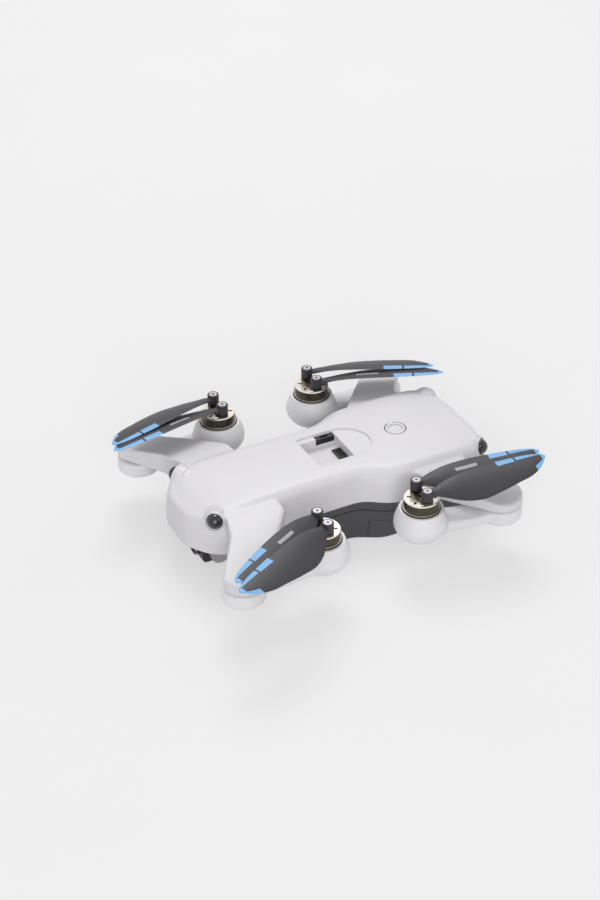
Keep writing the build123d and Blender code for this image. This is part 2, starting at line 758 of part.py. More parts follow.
def blade_screws(x, y):
    """The two screws that the blades turn on, with sunk socket heads."""
    with BuildPart() as piece:
        for offset_y in (post_y, -post_y):
            with BuildSketch(Plane.XY.offset(bell_top_z)):
                with Locations((x, y + offset_y)):
                    Circle(blade_screw_r)
            extrude(amount=eye_z + eye_height - blade_head_depth - bell_top_z)
            with BuildSketch(Plane.XY.offset(eye_z + eye_height - blade_head_depth)):
                with Locations((x, y + offset_y)):
                    Circle(blade_head_r)
                    RegularPolygon(1.0, 6, mode=Mode.SUBTRACT)
            extrude(amount=blade_head_depth + 0.1)
    return piece


# leading edge, trailing edge, pitch and height of the blade along its length
blade_stations = [
    # along, lead, trail, pitch, rise
    (2.0, 2.6, -2.6, 6.0, 0.2),
    (8.0, 4.2, -5.5, 16.0, 1.0),
    (18.0, 6.2, -12.0, 21.0, 2.0),
    (32.0, 7.4, -16.5, 20.0, 2.6),
    (46.0, 7.6, -15.5, 17.5, 2.8),
    (60.0, 7.2, -13.0, 15.0, 2.8),
    (70.0, 6.6, -11.0, 13.5, 2.8),
    (77.0, 5.6, -7.5, 12.0, 2.8),
    (82.5, 4.2, -3.0, 11.0, 2.8),
    (85.6, 2.4, 0.2, 10.0, 2.8),
]


def blade(x, y, azimuth, lead_side):
    """A blade whose hinge is at x, y: a screw eye and a pitched blade lofted along azimuth."""
    with BuildPart() as piece:
        along = Vector(cos(radians(azimuth)), sin(radians(azimuth)), 0)
        across = Vector(-along.Y, along.X, 0) * lead_side
        for reach, lead, trail, pitch, rise in blade_stations:
            centre = Vector(x, y, eye_z + blade_axis_rise + rise) + along * reach
            chord = across * cos(radians(pitch)) + Vector(0, 0, 1) * sin(radians(pitch))
            plane = Plane(origin=centre, x_dir=chord, z_dir=along)
            with BuildSketch(plane):
                with Locations(((lead + trail) / 2, 0)):
                    thick = blade_thick if reach > eye_r else blade_root_thick
                    Ellipse((lead - trail) / 2, thick / 2)
        loft(ruled=False)
        with BuildSketch(Plane.XY.offset(eye_z)):
            with Locations((x, y)):
                Circle(eye_r)
        extrude(amount=eye_height)
        with BuildSketch(Plane.XY.offset(eye_z - 1)):
            with Locations((x, y)):
                Circle(blade_screw_r + pin_play)
        extrude(amount=20, mode=Mode.SUBTRACT)
        with BuildSketch(Plane.XY.offset(eye_z + eye_height - blade_head_depth - 0.2)):
            with Locations((x, y)):
                Circle(blade_head_r + blade_head_play)
        extrude(amount=20, mode=Mode.SUBTRACT)
    return piece


for name, (fore, side) in corners.items():
    mx, my = fore * motor_x, side * motor_y
    keep(arm(fore, side), f"arm_{name}")
    keep(stator(mx, my), f"stator_{name}")
    keep(bell(mx, my), f"bell_{name}")
    keep(hub(mx, my), f"blade_hub_{name}")
    keep(blade_screws(mx, my), f"blade_screws_{name}")
    straight = 0.0 if fore > 0 else 180.0
    # the leading edges face the body; seen from the hinge that is left or right of the blade
    lead_side = -fore * side
    for which, sign in (("outer", side), ("inner", -side)):
        lean_out = blade_rest[name] - sign * side * blade_toe[name]
        piece = blade(mx, my + sign * post_y, straight + fore * side * lean_out, lead_side)
        keep(piece, f"blade_{name}_{which}")
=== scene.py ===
"""Looks of a folded camera quadcopter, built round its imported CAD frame. Lengths in the
formulas are millimetres; meshes are in metres."""
import json
import math

import bpy
import numpy as np
from bpy.props import FloatProperty, FloatVectorProperty, PointerProperty
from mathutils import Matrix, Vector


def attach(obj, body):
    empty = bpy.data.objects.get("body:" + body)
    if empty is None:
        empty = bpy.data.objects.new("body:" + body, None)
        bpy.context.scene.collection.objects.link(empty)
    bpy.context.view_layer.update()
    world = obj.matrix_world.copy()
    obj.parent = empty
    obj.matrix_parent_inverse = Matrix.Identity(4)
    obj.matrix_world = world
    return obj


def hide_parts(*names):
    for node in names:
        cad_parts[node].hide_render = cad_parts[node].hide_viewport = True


bl_info = {
    "name": "Folded camera quadcopter",
    "version": (1, 0, 0),
    "blender": (4, 5, 0),
    "location": "View3D > Sidebar > Quadcopter",
    "description": "Builds the surfaces and finishes of a folding four-rotor camera drone",
    "category": "Add Mesh",
}

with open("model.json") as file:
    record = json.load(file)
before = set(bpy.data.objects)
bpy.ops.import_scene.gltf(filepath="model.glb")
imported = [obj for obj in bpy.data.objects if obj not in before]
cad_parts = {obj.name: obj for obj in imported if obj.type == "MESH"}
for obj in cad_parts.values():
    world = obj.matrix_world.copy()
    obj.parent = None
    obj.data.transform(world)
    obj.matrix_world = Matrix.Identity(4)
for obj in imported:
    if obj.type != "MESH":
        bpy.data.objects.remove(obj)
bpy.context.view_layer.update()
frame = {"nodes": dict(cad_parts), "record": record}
MM = 0.001
LIP = 48.0  # rims of the motor pods above the ground
MOTOR_X, MOTOR_Y = 35.25, 74.5
HINGE_X, HINGE_Y = 92.0, 79.0
POST_Y = 7.0  # blade screws either side of a rotor's axis
CORNERS = {
    "front_left": (1, 1),
    "front_right": (1, -1),
    "rear_left": (-1, 1),
    "rear_right": (-1, -1),
}
# outward lean of each pair of blades from straight, and how far the two lean together, in degrees
BLADE_REST = {"front_left": 28.0, "front_right": -12.5, "rear_left": 4.0, "rear_right": -23.0}
BLADE_TOE = {"front_left": 1.6, "front_right": 2.5, "rear_left": 2.5, "rear_right": 1.3}
# the corner eyes' middles in plan
EYE_SPOTS = [(87.5, 29.5), (87.5, -29.5), (-103.0, 36.0), (-103.0, -36.0)]
EYE_Z = LIP + 1.4  # and above the ground
BUTTON_X = -58.4
BUTTON_HOLE_R = 4.95
RING_R = (6.6, 7.45)  # inner and outer edge of the groove over the light ring
EYE_R = 5.2
HINGE_R = 14.0  # disc and ear round each arm hinge


def linear(hex_colour):
    """sRGB hex to linear RGBA."""
    srgb = [int(hex_colour[i:i + 2], 16) / 255 for i in (1, 3, 5)]
    return tuple(c / 12.92 if c <= 0.04045 else ((c + 0.055) / 1.055) ** 2.4 for c in srgb) + (1.0,)


# ------------------------------------------------------------------ settings of the panel
def colour(name, description, hex_colour):
    return FloatVectorProperty(name=name, description=description, subtype="COLOR", size=4,
                               min=0.0, max=1.0, default=linear(hex_colour))


class QuadColours(bpy.types.PropertyGroup):
    """Colours of the mouldings and trims."""
    body: colour("Body", "Light grey of the upper shell", "#E0DFE2")
    # whiter than the body's grey as painted light: it stands in for the light the arms and pods
    # catch from the camera side
    arms: colour("Arms", "Slightly whiter grey of the arms and pods", "#EBEBED")
    belly: colour("Belly", "Dark grey of the lower tub and battery", "#4C4C4F")
    blades: colour("Blades", "Dark grey of the blades", "#2E2C31")
    trim: colour("Blade trim", "Blue printed on the blades", "#7DB6E8")
    bell_top: colour("Bell top", "Cream metal of the motors' tops", "#E2DCD2")
    bell_side: colour("Bell side", "Olive metal of the motors' sides", "#514C42")


class QuadSizes(bpy.types.PropertyGroup):
    """Sizes that shape the surfaces."""
    shell_wall: FloatProperty(name="Shell wall", description="Thickness of the upper shell",
                              default=2.0 * MM, min=0.5 * MM, max=5 * MM, unit="LENGTH")
    shell_voxel: FloatProperty(name="Shell grid", description="Mesh spacing of the upper shell",
                               default=1.15 * MM, min=0.8 * MM, max=4 * MM, unit="LENGTH")
    arm_voxel: FloatProperty(name="Arm grid", description="Mesh spacing of the arms",
                             default=0.85 * MM, min=0.5 * MM, max=4 * MM, unit="LENGTH")
    seat_depth: FloatProperty(name="Seat depth", description="Depth of the accessory seat",
                              default=0.9 * MM, min=0.1 * MM, max=2 * MM, unit="LENGTH")
    camera_lens: FloatProperty(name="Camera lens", description="Focal length in millimetres",
                               default=84.0, min=20.0, max=200.0)


# ------------------------------------------------------------------ grids, curves and meshes
def bspline(rows, count):
    """count points on the clamped cubic B-spline whose control points are the rows, which may be
    numbers, points or whole grids: the sum of each row times its Cox-de Boor basis function."""
    rows = np.asarray(rows, float)
    n = len(rows)
    knots = np.concatenate([[0] * 3, np.arange(n - 2), [n - 3] * 3]).astype(float)
    t = np.linspace(0, n - 3, count)
    basis = ((t[:, None] >= knots[:-1]) & (t[:, None] < knots[1:])).astype(float)
    basis[-1, n - 1] = 1.0
    for degree in (1, 2, 3):
        span = len(knots) - 1 - degree
        lo, hi = knots[:span], knots[degree:degree + span]
        lo2, hi2 = knots[1:span + 1], knots[degree + 1:degree + 1 + span]
        left = np.where(hi > lo, (t[:, None] - lo) / np.where(hi > lo, hi - lo, 1), 0)
        right = np.where(hi2 > lo2, (hi2 - t[:, None]) / np.where(hi2 > lo2, hi2 - lo2, 1), 0)
        basis = left * basis[:, :span] + right * basis[:, 1:span + 1]
    return np.tensordot(basis[:, :n], rows, axes=(1, 0))


def through(stations, at):
    """Smooth values between stations (first column is where): cubic Hermite with central slopes."""
    stations = np.asarray(stations, float)
    x, y = stations[:, 0], stations[:, 1:]
    slope = np.gradient(y, x, axis=0)
    i = np.clip(np.searchsorted(x, at, side="right") - 1, 0, len(x) - 2)
    h = (x[i + 1] - x[i])[:, None]
    t = np.clip((at - x[i]) / (x[i + 1] - x[i]), 0, 1)[:, None]
    return ((2 * t**3 - 3 * t**2 + 1) * y[i] + (t**3 - 2 * t**2 + t) * h * slope[i]
            + (3 * t**2 - 2 * t**3) * y[i + 1] + (t**3 - t**2) * h * slope[i + 1])


def soft_loop(points, count, rounding):
    """count points along a closed polyline by length, rounded by a Gaussian of that many mm."""
    points = np.asarray(points, float)
    closed = np.vstack([points, points[:1]])
    along = np.concatenate([[0], np.cumsum(np.linalg.norm(np.diff(closed, axis=0), axis=1))])
    fine = np.linspace(0, along[-1], 2880, endpoint=False)
    dense = np.stack([np.interp(fine, along, closed[:, k]) for k in (0, 1)], axis=1)
    waves = np.fft.fftfreq(len(fine), along[-1] / len(fine)) * 2 * np.pi
    smooth = np.fft.ifft(np.fft.fft(dense, axis=0)
                         * np.exp(-0.5 * (waves * rounding) ** 2)[:, None], axis=0).real
    return smooth[:: len(fine) // count][:count]


def inward(loop, distance):
    """A closed plan loop moved inward along its normals."""
    tangent = np.roll(loop, -1, axis=0) - np.roll(loop, 1, axis=0)
    normal = np.stack([-tangent[:, 1], tangent[:, 0]], axis=1)
    normal /= np.linalg.norm(normal, axis=1)[:, None]
    area = np.sum(loop[:, 0] * np.roll(loop[:, 1], -1) - loop[:, 1] * np.roll(loop[:, 0], -1))
    return loop + normal * distance * np.sign(area)


def signed_volume(verts, tris):
    """Six times the volume inside triangles: the sum of each corner dotted with the cross product
    of the other two."""
    a, b, c = (verts[tris[:, k]] for k in (0, 1, 2))
    return np.einsum("ij,ij->i", a, np.cross(b, c)).sum()


def skin(grid):
    """Vertices, and arrays of quads and triangles, of a tube of rows: closed round each row, with
    a fan to the mean point at both ends, and turned so that its volume is positive."""
    rows, cols = grid.shape[:2]
    r, c = np.meshgrid(np.arange(rows - 1), np.arange(cols), indexing="ij")
    following = (c + 1) % cols
    quads = np.stack([r * cols + c, r * cols + following, (r + 1) * cols + following,
                      (r + 1) * cols + c], axis=-1).reshape(-1, 4)
    verts = np.vstack([grid.reshape(-1, 3), grid[0].mean(axis=0), grid[-1].mean(axis=0)])
    first, last = len(verts) - 2, len(verts) - 1
    c, following, base = np.arange(cols), following[0], (rows - 1) * cols
    tris = np.vstack([np.stack([following, c, np.full(cols, first)], axis=1),
                      np.stack([base + c, base + following, np.full(cols, last)], axis=1)])
    halves = np.vstack([quads[:, (0, 1, 2)], quads[:, (0, 2, 3)], tris])
    if signed_volume(verts, halves) < 0:
        quads, tris = quads[:, ::-1], tris[:, ::-1]
    return verts, (quads, tris)


def lathe(profile, origin, normal=(0, 0, 1), segments=96):
    """A closed profile of (radius, height) points turned round the axis through origin."""
    profile = np.asarray(profile, float)
    z = np.asarray(normal, float) / np.linalg.norm(normal)
    u = np.cross(z, (1.0, 0.0, 0.0) if abs(z[0]) < 0.9 else (0.0, 1.0, 0.0))
    u /= np.linalg.norm(u)
    v = np.cross(z, u)
    turn = np.linspace(0, 2 * np.pi, segments, endpoint=False)
    ring = np.cos(turn)[:, None] * u + np.sin(turn)[:, None] * v
    grid = np.asarray(origin) + profile[:, None, :1] * ring + profile[:, None, 1:] * z
    return skin(grid)


def prism(loop, low, high):
    """A plan loop raised from low to high."""
    loop = np.asarray(loop, float)
    rows = [np.column_stack([loop, np.full(len(loop), z)]) for z in (low, high)]
    return skin(np.array(rows))


def box_loop(x0, x1, y0, y1):
    return [(x0, y0), (x1, y0), (x1, y1), (x0, y1)]


def arc(x, y, radius, start, stop, count):
    """count points on a circle, from start to stop degrees."""
    turn = np.radians(np.linspace(start, stop, count))
    return np.stack([x + radius * np.cos(turn), y + radius * np.sin(turn)], axis=1)


def ring_loop(x, y, radius, count=64):
    return arc(x, y, radius, 0, 360 - 360 / count, count)


def mesh_object(name, parts):
    """One object from several skins in mm."""
    verts, faces, start = [], [], 0
    for points, groups in parts:
        verts.append(points)
        for group in groups:
            faces += (group + start).tolist()
        start += len(points)
    mesh = bpy.data.meshes.new(name)
    mesh.from_pydata((np.vstack(verts) * MM).tolist(), [], faces)
    mesh.validate()
    made = bpy.data.objects.new(name, mesh)
    bpy.context.scene.collection.objects.link(made)
    return made


def settle(piece):
    """Applies a piece's modifiers to its mesh."""
    bpy.context.view_layer.update()
    graph = bpy.context.evaluated_depsgraph_get()
    old = piece.data
    piece.data = bpy.data.meshes.new_from_object(piece.evaluated_get(graph))
    piece.modifiers.clear()
    bpy.data.meshes.remove(old)


def boolean(piece, parts, operation="DIFFERENCE"):
    """Cuts, joins or keeps the overlap of a closed piece and each closed part in turn."""
    for part in parts:
        tool = mesh_object("tool", [part])
        step = piece.modifiers.new("cut", "BOOLEAN")
        step.operation = operation
        step.solver = "MANIFOLD"
        step.object = tool
        settle(piece)
        mesh = tool.data
        bpy.data.objects.remove(tool)
        bpy.data.meshes.remove(mesh)
    if not piece.data.polygons:
        raise RuntimeError(f"{piece.name} came out empty")


def melt(piece, spacing, rounds):
    """Meshes closed parts again as one even skin and relaxes it, which rounds edges and creases."""
    step = piece.modifiers.new("skin", "REMESH")
    step.mode = "VOXEL"
    step.voxel_size = spacing
    settle(piece)
    step = piece.modifiers.new("relax", "SMOOTH")
    step.factor = 0.5
    step.iterations = rounds
    settle(piece)


def finish_piece(piece, material, body, nodes, angle=35.0):
    """Material, smooth shading, body and the CAD nodes that the piece stands for."""
    mesh = piece.data
    mesh.materials.clear()
    mesh.materials.append(material)
    mesh.polygons.foreach_set("material_index", np.zeros(len(mesh.polygons), np.int32))
    mesh.shade_smooth()
    mesh.set_sharp_from_angle(angle=math.radians(angle))
    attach(piece, body)
    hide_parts(*nodes)
    return piece


# ------------------------------------------------------------------ materials
def node(tree, kind, values=None, links=None, **settings):
    """Adds a node with its settings and input values, and links its inputs from (node, output)."""
    made = tree.nodes.new(kind)
    for name, value in settings.items():
        setattr(made, name, value)
    for name, value in (values or {}).items():
        made.inputs[name].default_value = value
    for name, (source, output) in (links or {}).items():
        tree.links.new(source.outputs[output], made.inputs[name])
    return made


def new_material(name):
    """An empty node material, its tree and the node of its texture coordinates."""
    material = bpy.data.materials.new(name)
    material.use_nodes = True
    tree = material.node_tree
    tree.nodes.clear()
    where = node(tree, "ShaderNodeTexCoord")
    return material, tree, where


def surface(material, tree, shader):
    """Joins a shader to the material's output."""
    node(tree, "ShaderNodeOutputMaterial", links={"Surface": (shader, 0)})
    return material


def moulded(name, base, shade, rough, rough_swing, grain, depth, mottle=25.0, shine=None):
    """A moulded or blasted finish: base and shade colours mottled over so many mm, a skin grain of
    so many mm and depth, and roughness that swings a little with the mottle."""
    material, tree, where = new_material(name)
    cloud = node(tree, "ShaderNodeTexNoise", {"Scale": 1000.0 / mottle, "Detail": 3.0},
                 {"Vector": (where, "Object")})
    skin_grain = node(tree, "ShaderNodeTexNoise", {"Scale": 1000.0 / grain, "Detail": 2.0},
                      {"Vector": (where, "Object")})
    mix = node(tree, "ShaderNodeMix", {"A": base, "B": shade}, {"Factor": (cloud, "Fac")},
               data_type="RGBA")
    swing = node(tree, "ShaderNodeMapRange",
                 {"To Min": rough - rough_swing, "To Max": rough + rough_swing},
                 {"Value": (cloud, "Fac")})
    bump = node(tree, "ShaderNodeBump", {"Strength": 0.35, "Distance": depth * MM},
                {"Height": (skin_grain, "Fac")})
    shader = node(tree, "ShaderNodeBsdfPrincipled", shine,
                  {"Base Color": (mix, "Result"), "Roughness": (swing, "Result"),
                   "Normal": (bump, "Normal")})
    return surface(material, tree, shader)


# heights over the rim where a bell's lip, side, painted highlight on the rounded top edge, and top
# begin; below the lip band the bell is painted dark as the shade in its gap inside the pod
BELL_LIP_BAND, BELL_SIDE_BAND, BELL_EDGE_HIGHLIGHT_BAND, BELL_TOP_BAND = 0.3, 1.25, 7.15, 7.86
BAND_REACH = 10  # the bands' scale runs this far under and over the rim


def bell_metal(name, top, side, lip):
    """Turned aluminium bell: bands by height, with painted shade below the lip and a painted
    highlight on the top edge, and fine rings from the lathe.
    """
    material, tree, where = new_material(name)
    split = node(tree, "ShaderNodeSeparateXYZ", links={"Vector": (where, "Object")})
    level = node(tree, "ShaderNodeMapRange",
                 {"From Min": (LIP - BAND_REACH) * MM, "From Max": (LIP + BAND_REACH) * MM},
                 {"Value": (split, "Z")})
    bands = node(tree, "ShaderNodeValToRGB", links={"Fac": (level, "Result")})
    ramp = bands.color_ramp
    ramp.interpolation = "CONSTANT"
    # painted shade: the bell below its lip band is dark, as the shade in its narrow gap inside the
    # pod
    ramp.elements[0].color = linear("#3A352D")
    ramp.elements[1].position = (BAND_REACH + BELL_LIP_BAND) / (2 * BAND_REACH)
    ramp.elements[1].color = lip
    # the band over the rounded top edge, #F0EBE2, is a painted highlight, lighter than the top,
    # where the edge catches the light
    for height, shade in ((BELL_SIDE_BAND, side), (BELL_EDGE_HIGHLIGHT_BAND, linear("#F0EBE2")),
                          (BELL_TOP_BAND, top)):
        element = ramp.elements.new((BAND_REACH + height) / (2 * BAND_REACH))
        element.color = shade
    turned = node(tree, "ShaderNodeTexNoise", {"Scale": 900.0, "Detail": 2.0},
                  {"Vector": (split, "Z")}, noise_dimensions="3D")
    bump = node(tree, "ShaderNodeBump", {"Strength": 0.12, "Distance": 0.03 * MM},
                {"Height": (turned, "Fac")})
    rough = node(tree, "ShaderNodeMapRange", {"To Min": 0.2, "To Max": 0.34},
                 {"Value": (turned, "Fac")})
    shader = node(tree, "ShaderNodeBsdfPrincipled", {"Metallic": 0.85},
                  {"Base Color": (bands, "Color"), "Roughness": (rough, "Result"),
                   "Normal": (bump, "Normal")})
    return surface(material, tree, shader)


def metal(name, base, rough, grain, depth):
    """A metal with a fine blasted or drawn grain."""
    shade = tuple(c * 0.85 for c in base[:3]) + (1.0,)
    return moulded(name, base, shade, rough, 0.05, grain, depth, mottle=6.0,
                   shine={"Metallic": 1.0})


# (from, to) along the blade in mm / 100, then (from, to) across it from the leading edge:
# two bars along the leading edge, the bar along the raked tip, and the tip itself
BLADE_BARS = [(0.52, 0.645, -0.1, 0.23), (0.66, 0.84, -0.1, 0.2), (0.755, 0.84, 0.76, 1.1),
              (0.83, 0.9, -0.1, 1.1)]
LABEL_BAR = (0.27, 0.42, 0.25, 0.35)
NO_BAR = (-2, -1, -2, -1)


def printed_bars(tree, split, bars):
    """1 inside any of the printed bars and 0 elsewhere, from the blade's own UV."""
    inside = None
    for bar in bars:
        sides = [node(tree, "ShaderNodeMath", {1: limit}, {0: (split, axis)}, operation=test)
                 for limit, axis, test in zip(bar, "XXYY", ("GREATER_THAN", "LESS_THAN") * 2)]
        for side in sides[1:]:
            sides[0] = node(tree, "ShaderNodeMath",
                            links={0: (sides[0], "Value"), 1: (side, "Value")},
                            operation="MULTIPLY")
        if inside:
            sides[0] = node(tree, "ShaderNodeMath",
                            links={0: (inside, "Value"), 1: (sides[0], "Value")},
                            operation="MAXIMUM")
        inside = sides[0]
    return inside


def blade_nylon(name, base, trim, labelled):
    """Glass-filled nylon with printed trims. The UV map is (mm from the hinge / 100, share of the
    width from the leading edge): two broken bars along the leading edge, then a hook at the tip."""
    material, tree, where = new_material(name)
    uv = node(tree, "ShaderNodeUVMap", uv_map="blade")
    split = node(tree, "ShaderNodeSeparateXYZ", links={"Vector": (uv, "UV")})

    blue = printed_bars(tree, split, BLADE_BARS)
    pale = printed_bars(tree, split, [LABEL_BAR if labelled else NO_BAR])
    grain = node(tree, "ShaderNodeTexNoise", {"Scale": 2200.0, "Detail": 2.0},
                 {"Vector": (where, "Object")})
    cloud = node(tree, "ShaderNodeTexNoise", {"Scale": 60.0, "Detail": 2.0},
                 {"Vector": (where, "Object")})
    tone = node(tree, "ShaderNodeMix",
                {"A": base, "B": tuple(c * 1.18 for c in base[:3]) + (1.0,)},
                {"Factor": (cloud, "Fac")}, data_type="RGBA")
    printed = node(tree, "ShaderNodeMix", {"B": linear("#A9A8AC")},
                   {"Factor": (pale, "Value"), "A": (tone, "Result")}, data_type="RGBA")
    trimmed = node(tree, "ShaderNodeMix", {"B": trim},
                   {"Factor": (blue, "Value"), "A": (printed, "Result")}, data_type="RGBA")
    bump = node(tree, "ShaderNodeBump", {"Strength": 0.2, "Distance": 0.03 * MM},
                {"Height": (grain, "Fac")})
    shader = node(tree, "ShaderNodeBsdfPrincipled", {"Roughness": 0.46},
                  {"Base Color": (trimmed, "Result"), "Normal": (bump, "Normal")})
    return surface(material, tree, shader)


def glass(name, base, rough):
    """Coated optical glass or gloss polycarbonate: near black, sharp reflections, faint haze."""
    material, tree, where = new_material(name)
    haze = node(tree, "ShaderNodeTexNoise", {"Scale": 120.0, "Detail": 2.0},
                {"Vector": (where, "Object")})
    swing = node(tree, "ShaderNodeMapRange", {"To Min": rough * 0.7, "To Max": rough * 1.4},
                 {"Value": (haze, "Fac")})
    shader = node(tree, "ShaderNodeBsdfPrincipled",
                  {"Base Color": base, "IOR": 1.52, "Coat Weight": 0.6, "Coat Roughness": 0.03},
                  {"Roughness": (swing, "Result")})
    return surface(material, tree, shader)


def board(name):
    """Fibreglass circuit board: green mask, copper tracks as thin cell borders 1.5 mm apart."""
    material, tree, where = new_material(name)
    cells = node(tree, "ShaderNodeTexVoronoi", {"Scale": 650.0}, {"Vector": (where, "Object")},
                 feature="DISTANCE_TO_EDGE")
    track = node(tree, "ShaderNodeMath", {1: 0.08}, {0: (cells, "Distance")}, operation="LESS_THAN")
    mix = node(tree, "ShaderNodeMix", {"A": linear("#1F4A33"), "B": linear("#3F7A52")},
               {"Factor": (track, "Value")}, data_type="RGBA")
    bump = node(tree, "ShaderNodeBump", {"Strength": 0.3, "Distance": 0.05 * MM},
                {"Height": (track, "Value")})
    shader = node(tree, "ShaderNodeBsdfPrincipled", {"Roughness": 0.35},
                  {"Base Color": (mix, "Result"), "Normal": (bump, "Normal")})
    return surface(material, tree, shader)


FINISHES = {}


def make_finishes():
    """One material for each finish, named for what the real one is and, where light or shade is
    painted into its colour, for that.
    """
    tint = bpy.context.scene.quad_colours
    base = {name: tuple(getattr(tint, name)) for name in
            ("body", "arms", "belly", "blades", "trim", "bell_top", "bell_side")}

    def darker(c, k):
        return tuple(x * k for x in c[:3]) + (1.0,)

    FINISHES.update({
        # injection-moulded ABS, fine spark-eroded skin: a soft highlight, no sparkle
        "body_shell": moulded("satin_abs_light_grey", base["body"], darker(base["body"], 0.965),
                              0.42, 0.05, 0.5, 0.02),
        # the arms are glass-filled nylon, painted to match: smoother, and a touch whiter than the
        # body as painted light for the light they catch from the camera side
        "arm_shell": moulded("nylon_pale_grey_whiter_by_painted_light", base["arms"], darker(base["arms"], 0.97),
                             0.36, 0.05, 0.6, 0.015),
        # coarse textured ABS: scatters light, so it reads as soft dark grey
        "belly_shell": moulded("textured_abs_dark_grey", base["belly"], darker(base["belly"], 0.85),
                               0.55, 0.06, 0.7, 0.06),
        # plain black ABS: near black with a low, soft sheen
        "black_trim": moulded("black_abs", linear("#0D0D0E"), linear("#131314"), 0.4, 0.05, 0.6,
                              0.02),
        # coated lens glass: black, one small hard highlight
        "dark_glass": glass("coated_dark_glass", linear("#050506"), 0.06),
        # milky polycarbonate, unlit, coloured dark grey as painted shade of the groove it sits in:
        # a grey hairline in its groove
        "light_guide": moulded("milky_polycarbonate_grey_painted_groove_shade", linear("#66676B"), linear("#5C5D61"), 0.3,
                               0.04, 1.0, 0.01, shine={"Subsurface Weight": 0.2,
                                                       "Subsurface Scale": 0.002}),
        # green lacquer over copper: half gloss, broken by the raised tracks
        "circuit_board": board("fibreglass_board"),
        # fired ceramic: chalky beige, no gloss
        "ceramic_module": moulded("ceramic_beige", linear("#C9BFA6"), linear("#BDB196"), 0.6, 0.05,
                                  0.5, 0.02),
        # silicone: near black and dull, with hardly a highlight
        "damper_rubber": moulded("silicone_rubber", linear("#1E1E20"), linear("#27272A"), 0.7, 0.05,
                                 0.8, 0.03),
        # die-cast aluminium: an even, broken grey sheen
        "gimbal_metal": metal("die_cast_aluminium", linear("#A8A9AD"), 0.42, 0.5, 0.03),
        # anodised aluminium: dark, with a soft metallic highlight
        "camera_shell": moulded("anodised_dark_aluminium", linear("#3A3B3F"), linear("#333438"),
                                0.38, 0.05, 0.4, 0.015, shine={"Metallic": 0.6}),
        # laminated foil, crinkled: broad, wavy reflections
        "cell_foil": metal("pouch_foil", linear("#C3C5C9"), 0.35, 4.0, 0.3),
        # gold plate: bright, warm and smooth
        "contact_brass": metal("gold_plated_brass", linear("#D9B25E"), 0.25, 0.5, 0.01),
        # turned aluminium: cream top, dark olive side, fine lathe rings; a painted highlight on the
        # top edge and painted shade below the lip
        "motor_bell": bell_metal("turned_aluminium", base["bell_top"], base["bell_side"],
                                 linear("#C8BEAF")),
        # blackened steel: brown-grey with a dim shine
        "hub_metal": metal("blackened_steel", linear("#5B5248"), 0.34, 0.5, 0.02),
        # stainless steel: small bright points and a bright shaft
        "screw_steel": metal("stainless_steel", linear("#C8C3C6"), 0.26, 0.4, 0.01),
        # enamelled copper wire: warm brown, half gloss
        "stator": metal("enamelled_copper", linear("#8A5A34"), 0.4, 0.6, 0.1),
        # glass-filled nylon: dull dark grey, fine grain, printed blue and pale bars
        "blade": blade_nylon("glass_filled_nylon_outer", base["blades"], base["trim"], False),
        "blade_inner": blade_nylon("glass_filled_nylon_inner", base["blades"], base["trim"], True),
    })


# ------------------------------------------------------------------ body
NOTCH = (-20.2, -6.4, -17.6, -13.6)  # plan of the catch slot beside the pocket
NOTCH_FLOOR = 50.8
# half outlines in plan, nose to tail: the lower edge, the flank, the shoulder and the top
HEM = [(102, 15), (92, 30.5), (80.5, 37), (50, 36.5), (-14, 35.5), (-31, 48), (-93, 47),
       (-106, 39.5), (-110.5, 23)]
FLANK = [(101, 15), (91, 30), (79.5, 35.5), (50, 34.5), (-14, 33.5), (-32, 46), (-92.5, 45.5),
         (-105, 38.5), (-110, 22.5)]
SHOULDER = [(98.5, 14), (90, 28.5), (79, 33), (50, 31.5), (-15, 31.5), (-34, 42), (-92.5, 42.5),
            (-104, 36.5), (-108.5, 21)]
CROWN = [(90, 13.5), (84, 22.5), (75, 27.5), (48, 26.5), (-16, 26.5), (-37, 36), (-91, 37.5),
         (-101.5, 32), (-105, 18)]
# how far the crown lies above or below the level 8 mm over the rims, along x
CROWN_LINE = [(-112, -3.6), (-104, -2.0), (-95, -0.9), (-80, -0.2), (-58, 0), (-20, 0.1), (7, 0.6),
              (35, 0.5), (60, -0.1), (76, -1.1), (86, -2.4), (95, -5.0), (106, -9.5)]


def body_levels(inset=0.0, low=18.0, drop=0.0):
    """The body's closed skin: a B-spline through plan loops, from the foot up over the soft
    shoulder to the crown, and in to a spine. Inset moves every loop inward for the inside."""
    def loop(half, rounding):
        full = half + [(x, -y) for x, y in reversed(half)]
        made = soft_loop(full, 360, rounding)
        return inward(made, inset) if inset else made

    hem, flank = loop(HEM, 5.0), loop(FLANK, 5.0)
    shoulder, crown = loop(SHOULDER, 5.5), loop(CROWN, 6.0)
    spine = crown * (0.55, 0.0)
    levels = [(low, hem, 0), (low + 6, hem, 0), (30, hem, 0), (36, hem, 0),
              (41, (hem + flank) / 2, 0), (46, flank, 0.0),
              (50.5, (flank + shoulder * 1.2) / 2.2, 0.3), (52.6, shoulder, 0.55),
              (53.6, shoulder * 0.75 + crown * 0.25, 0.75),
              (55.0, shoulder * 0.35 + crown * 0.65, 0.9), (56.0, crown, 1.0),
              (56.4, crown * (0.85, 0.72), 1.0), (56.7, crown * (0.7, 0.4), 1.0),
              (56.8, spine, 1.0)]
    # each level: height, plan, and its share of the crown's line
    rows = []
    for z, plan, share in levels:
        z = z - drop * (z > 50)
        lift = np.interp(plan[:, 0], *np.array(CROWN_LINE).T) * share
        rows.append(np.column_stack([plan, z + lift]))
    return skin(bspline(rows, 90))


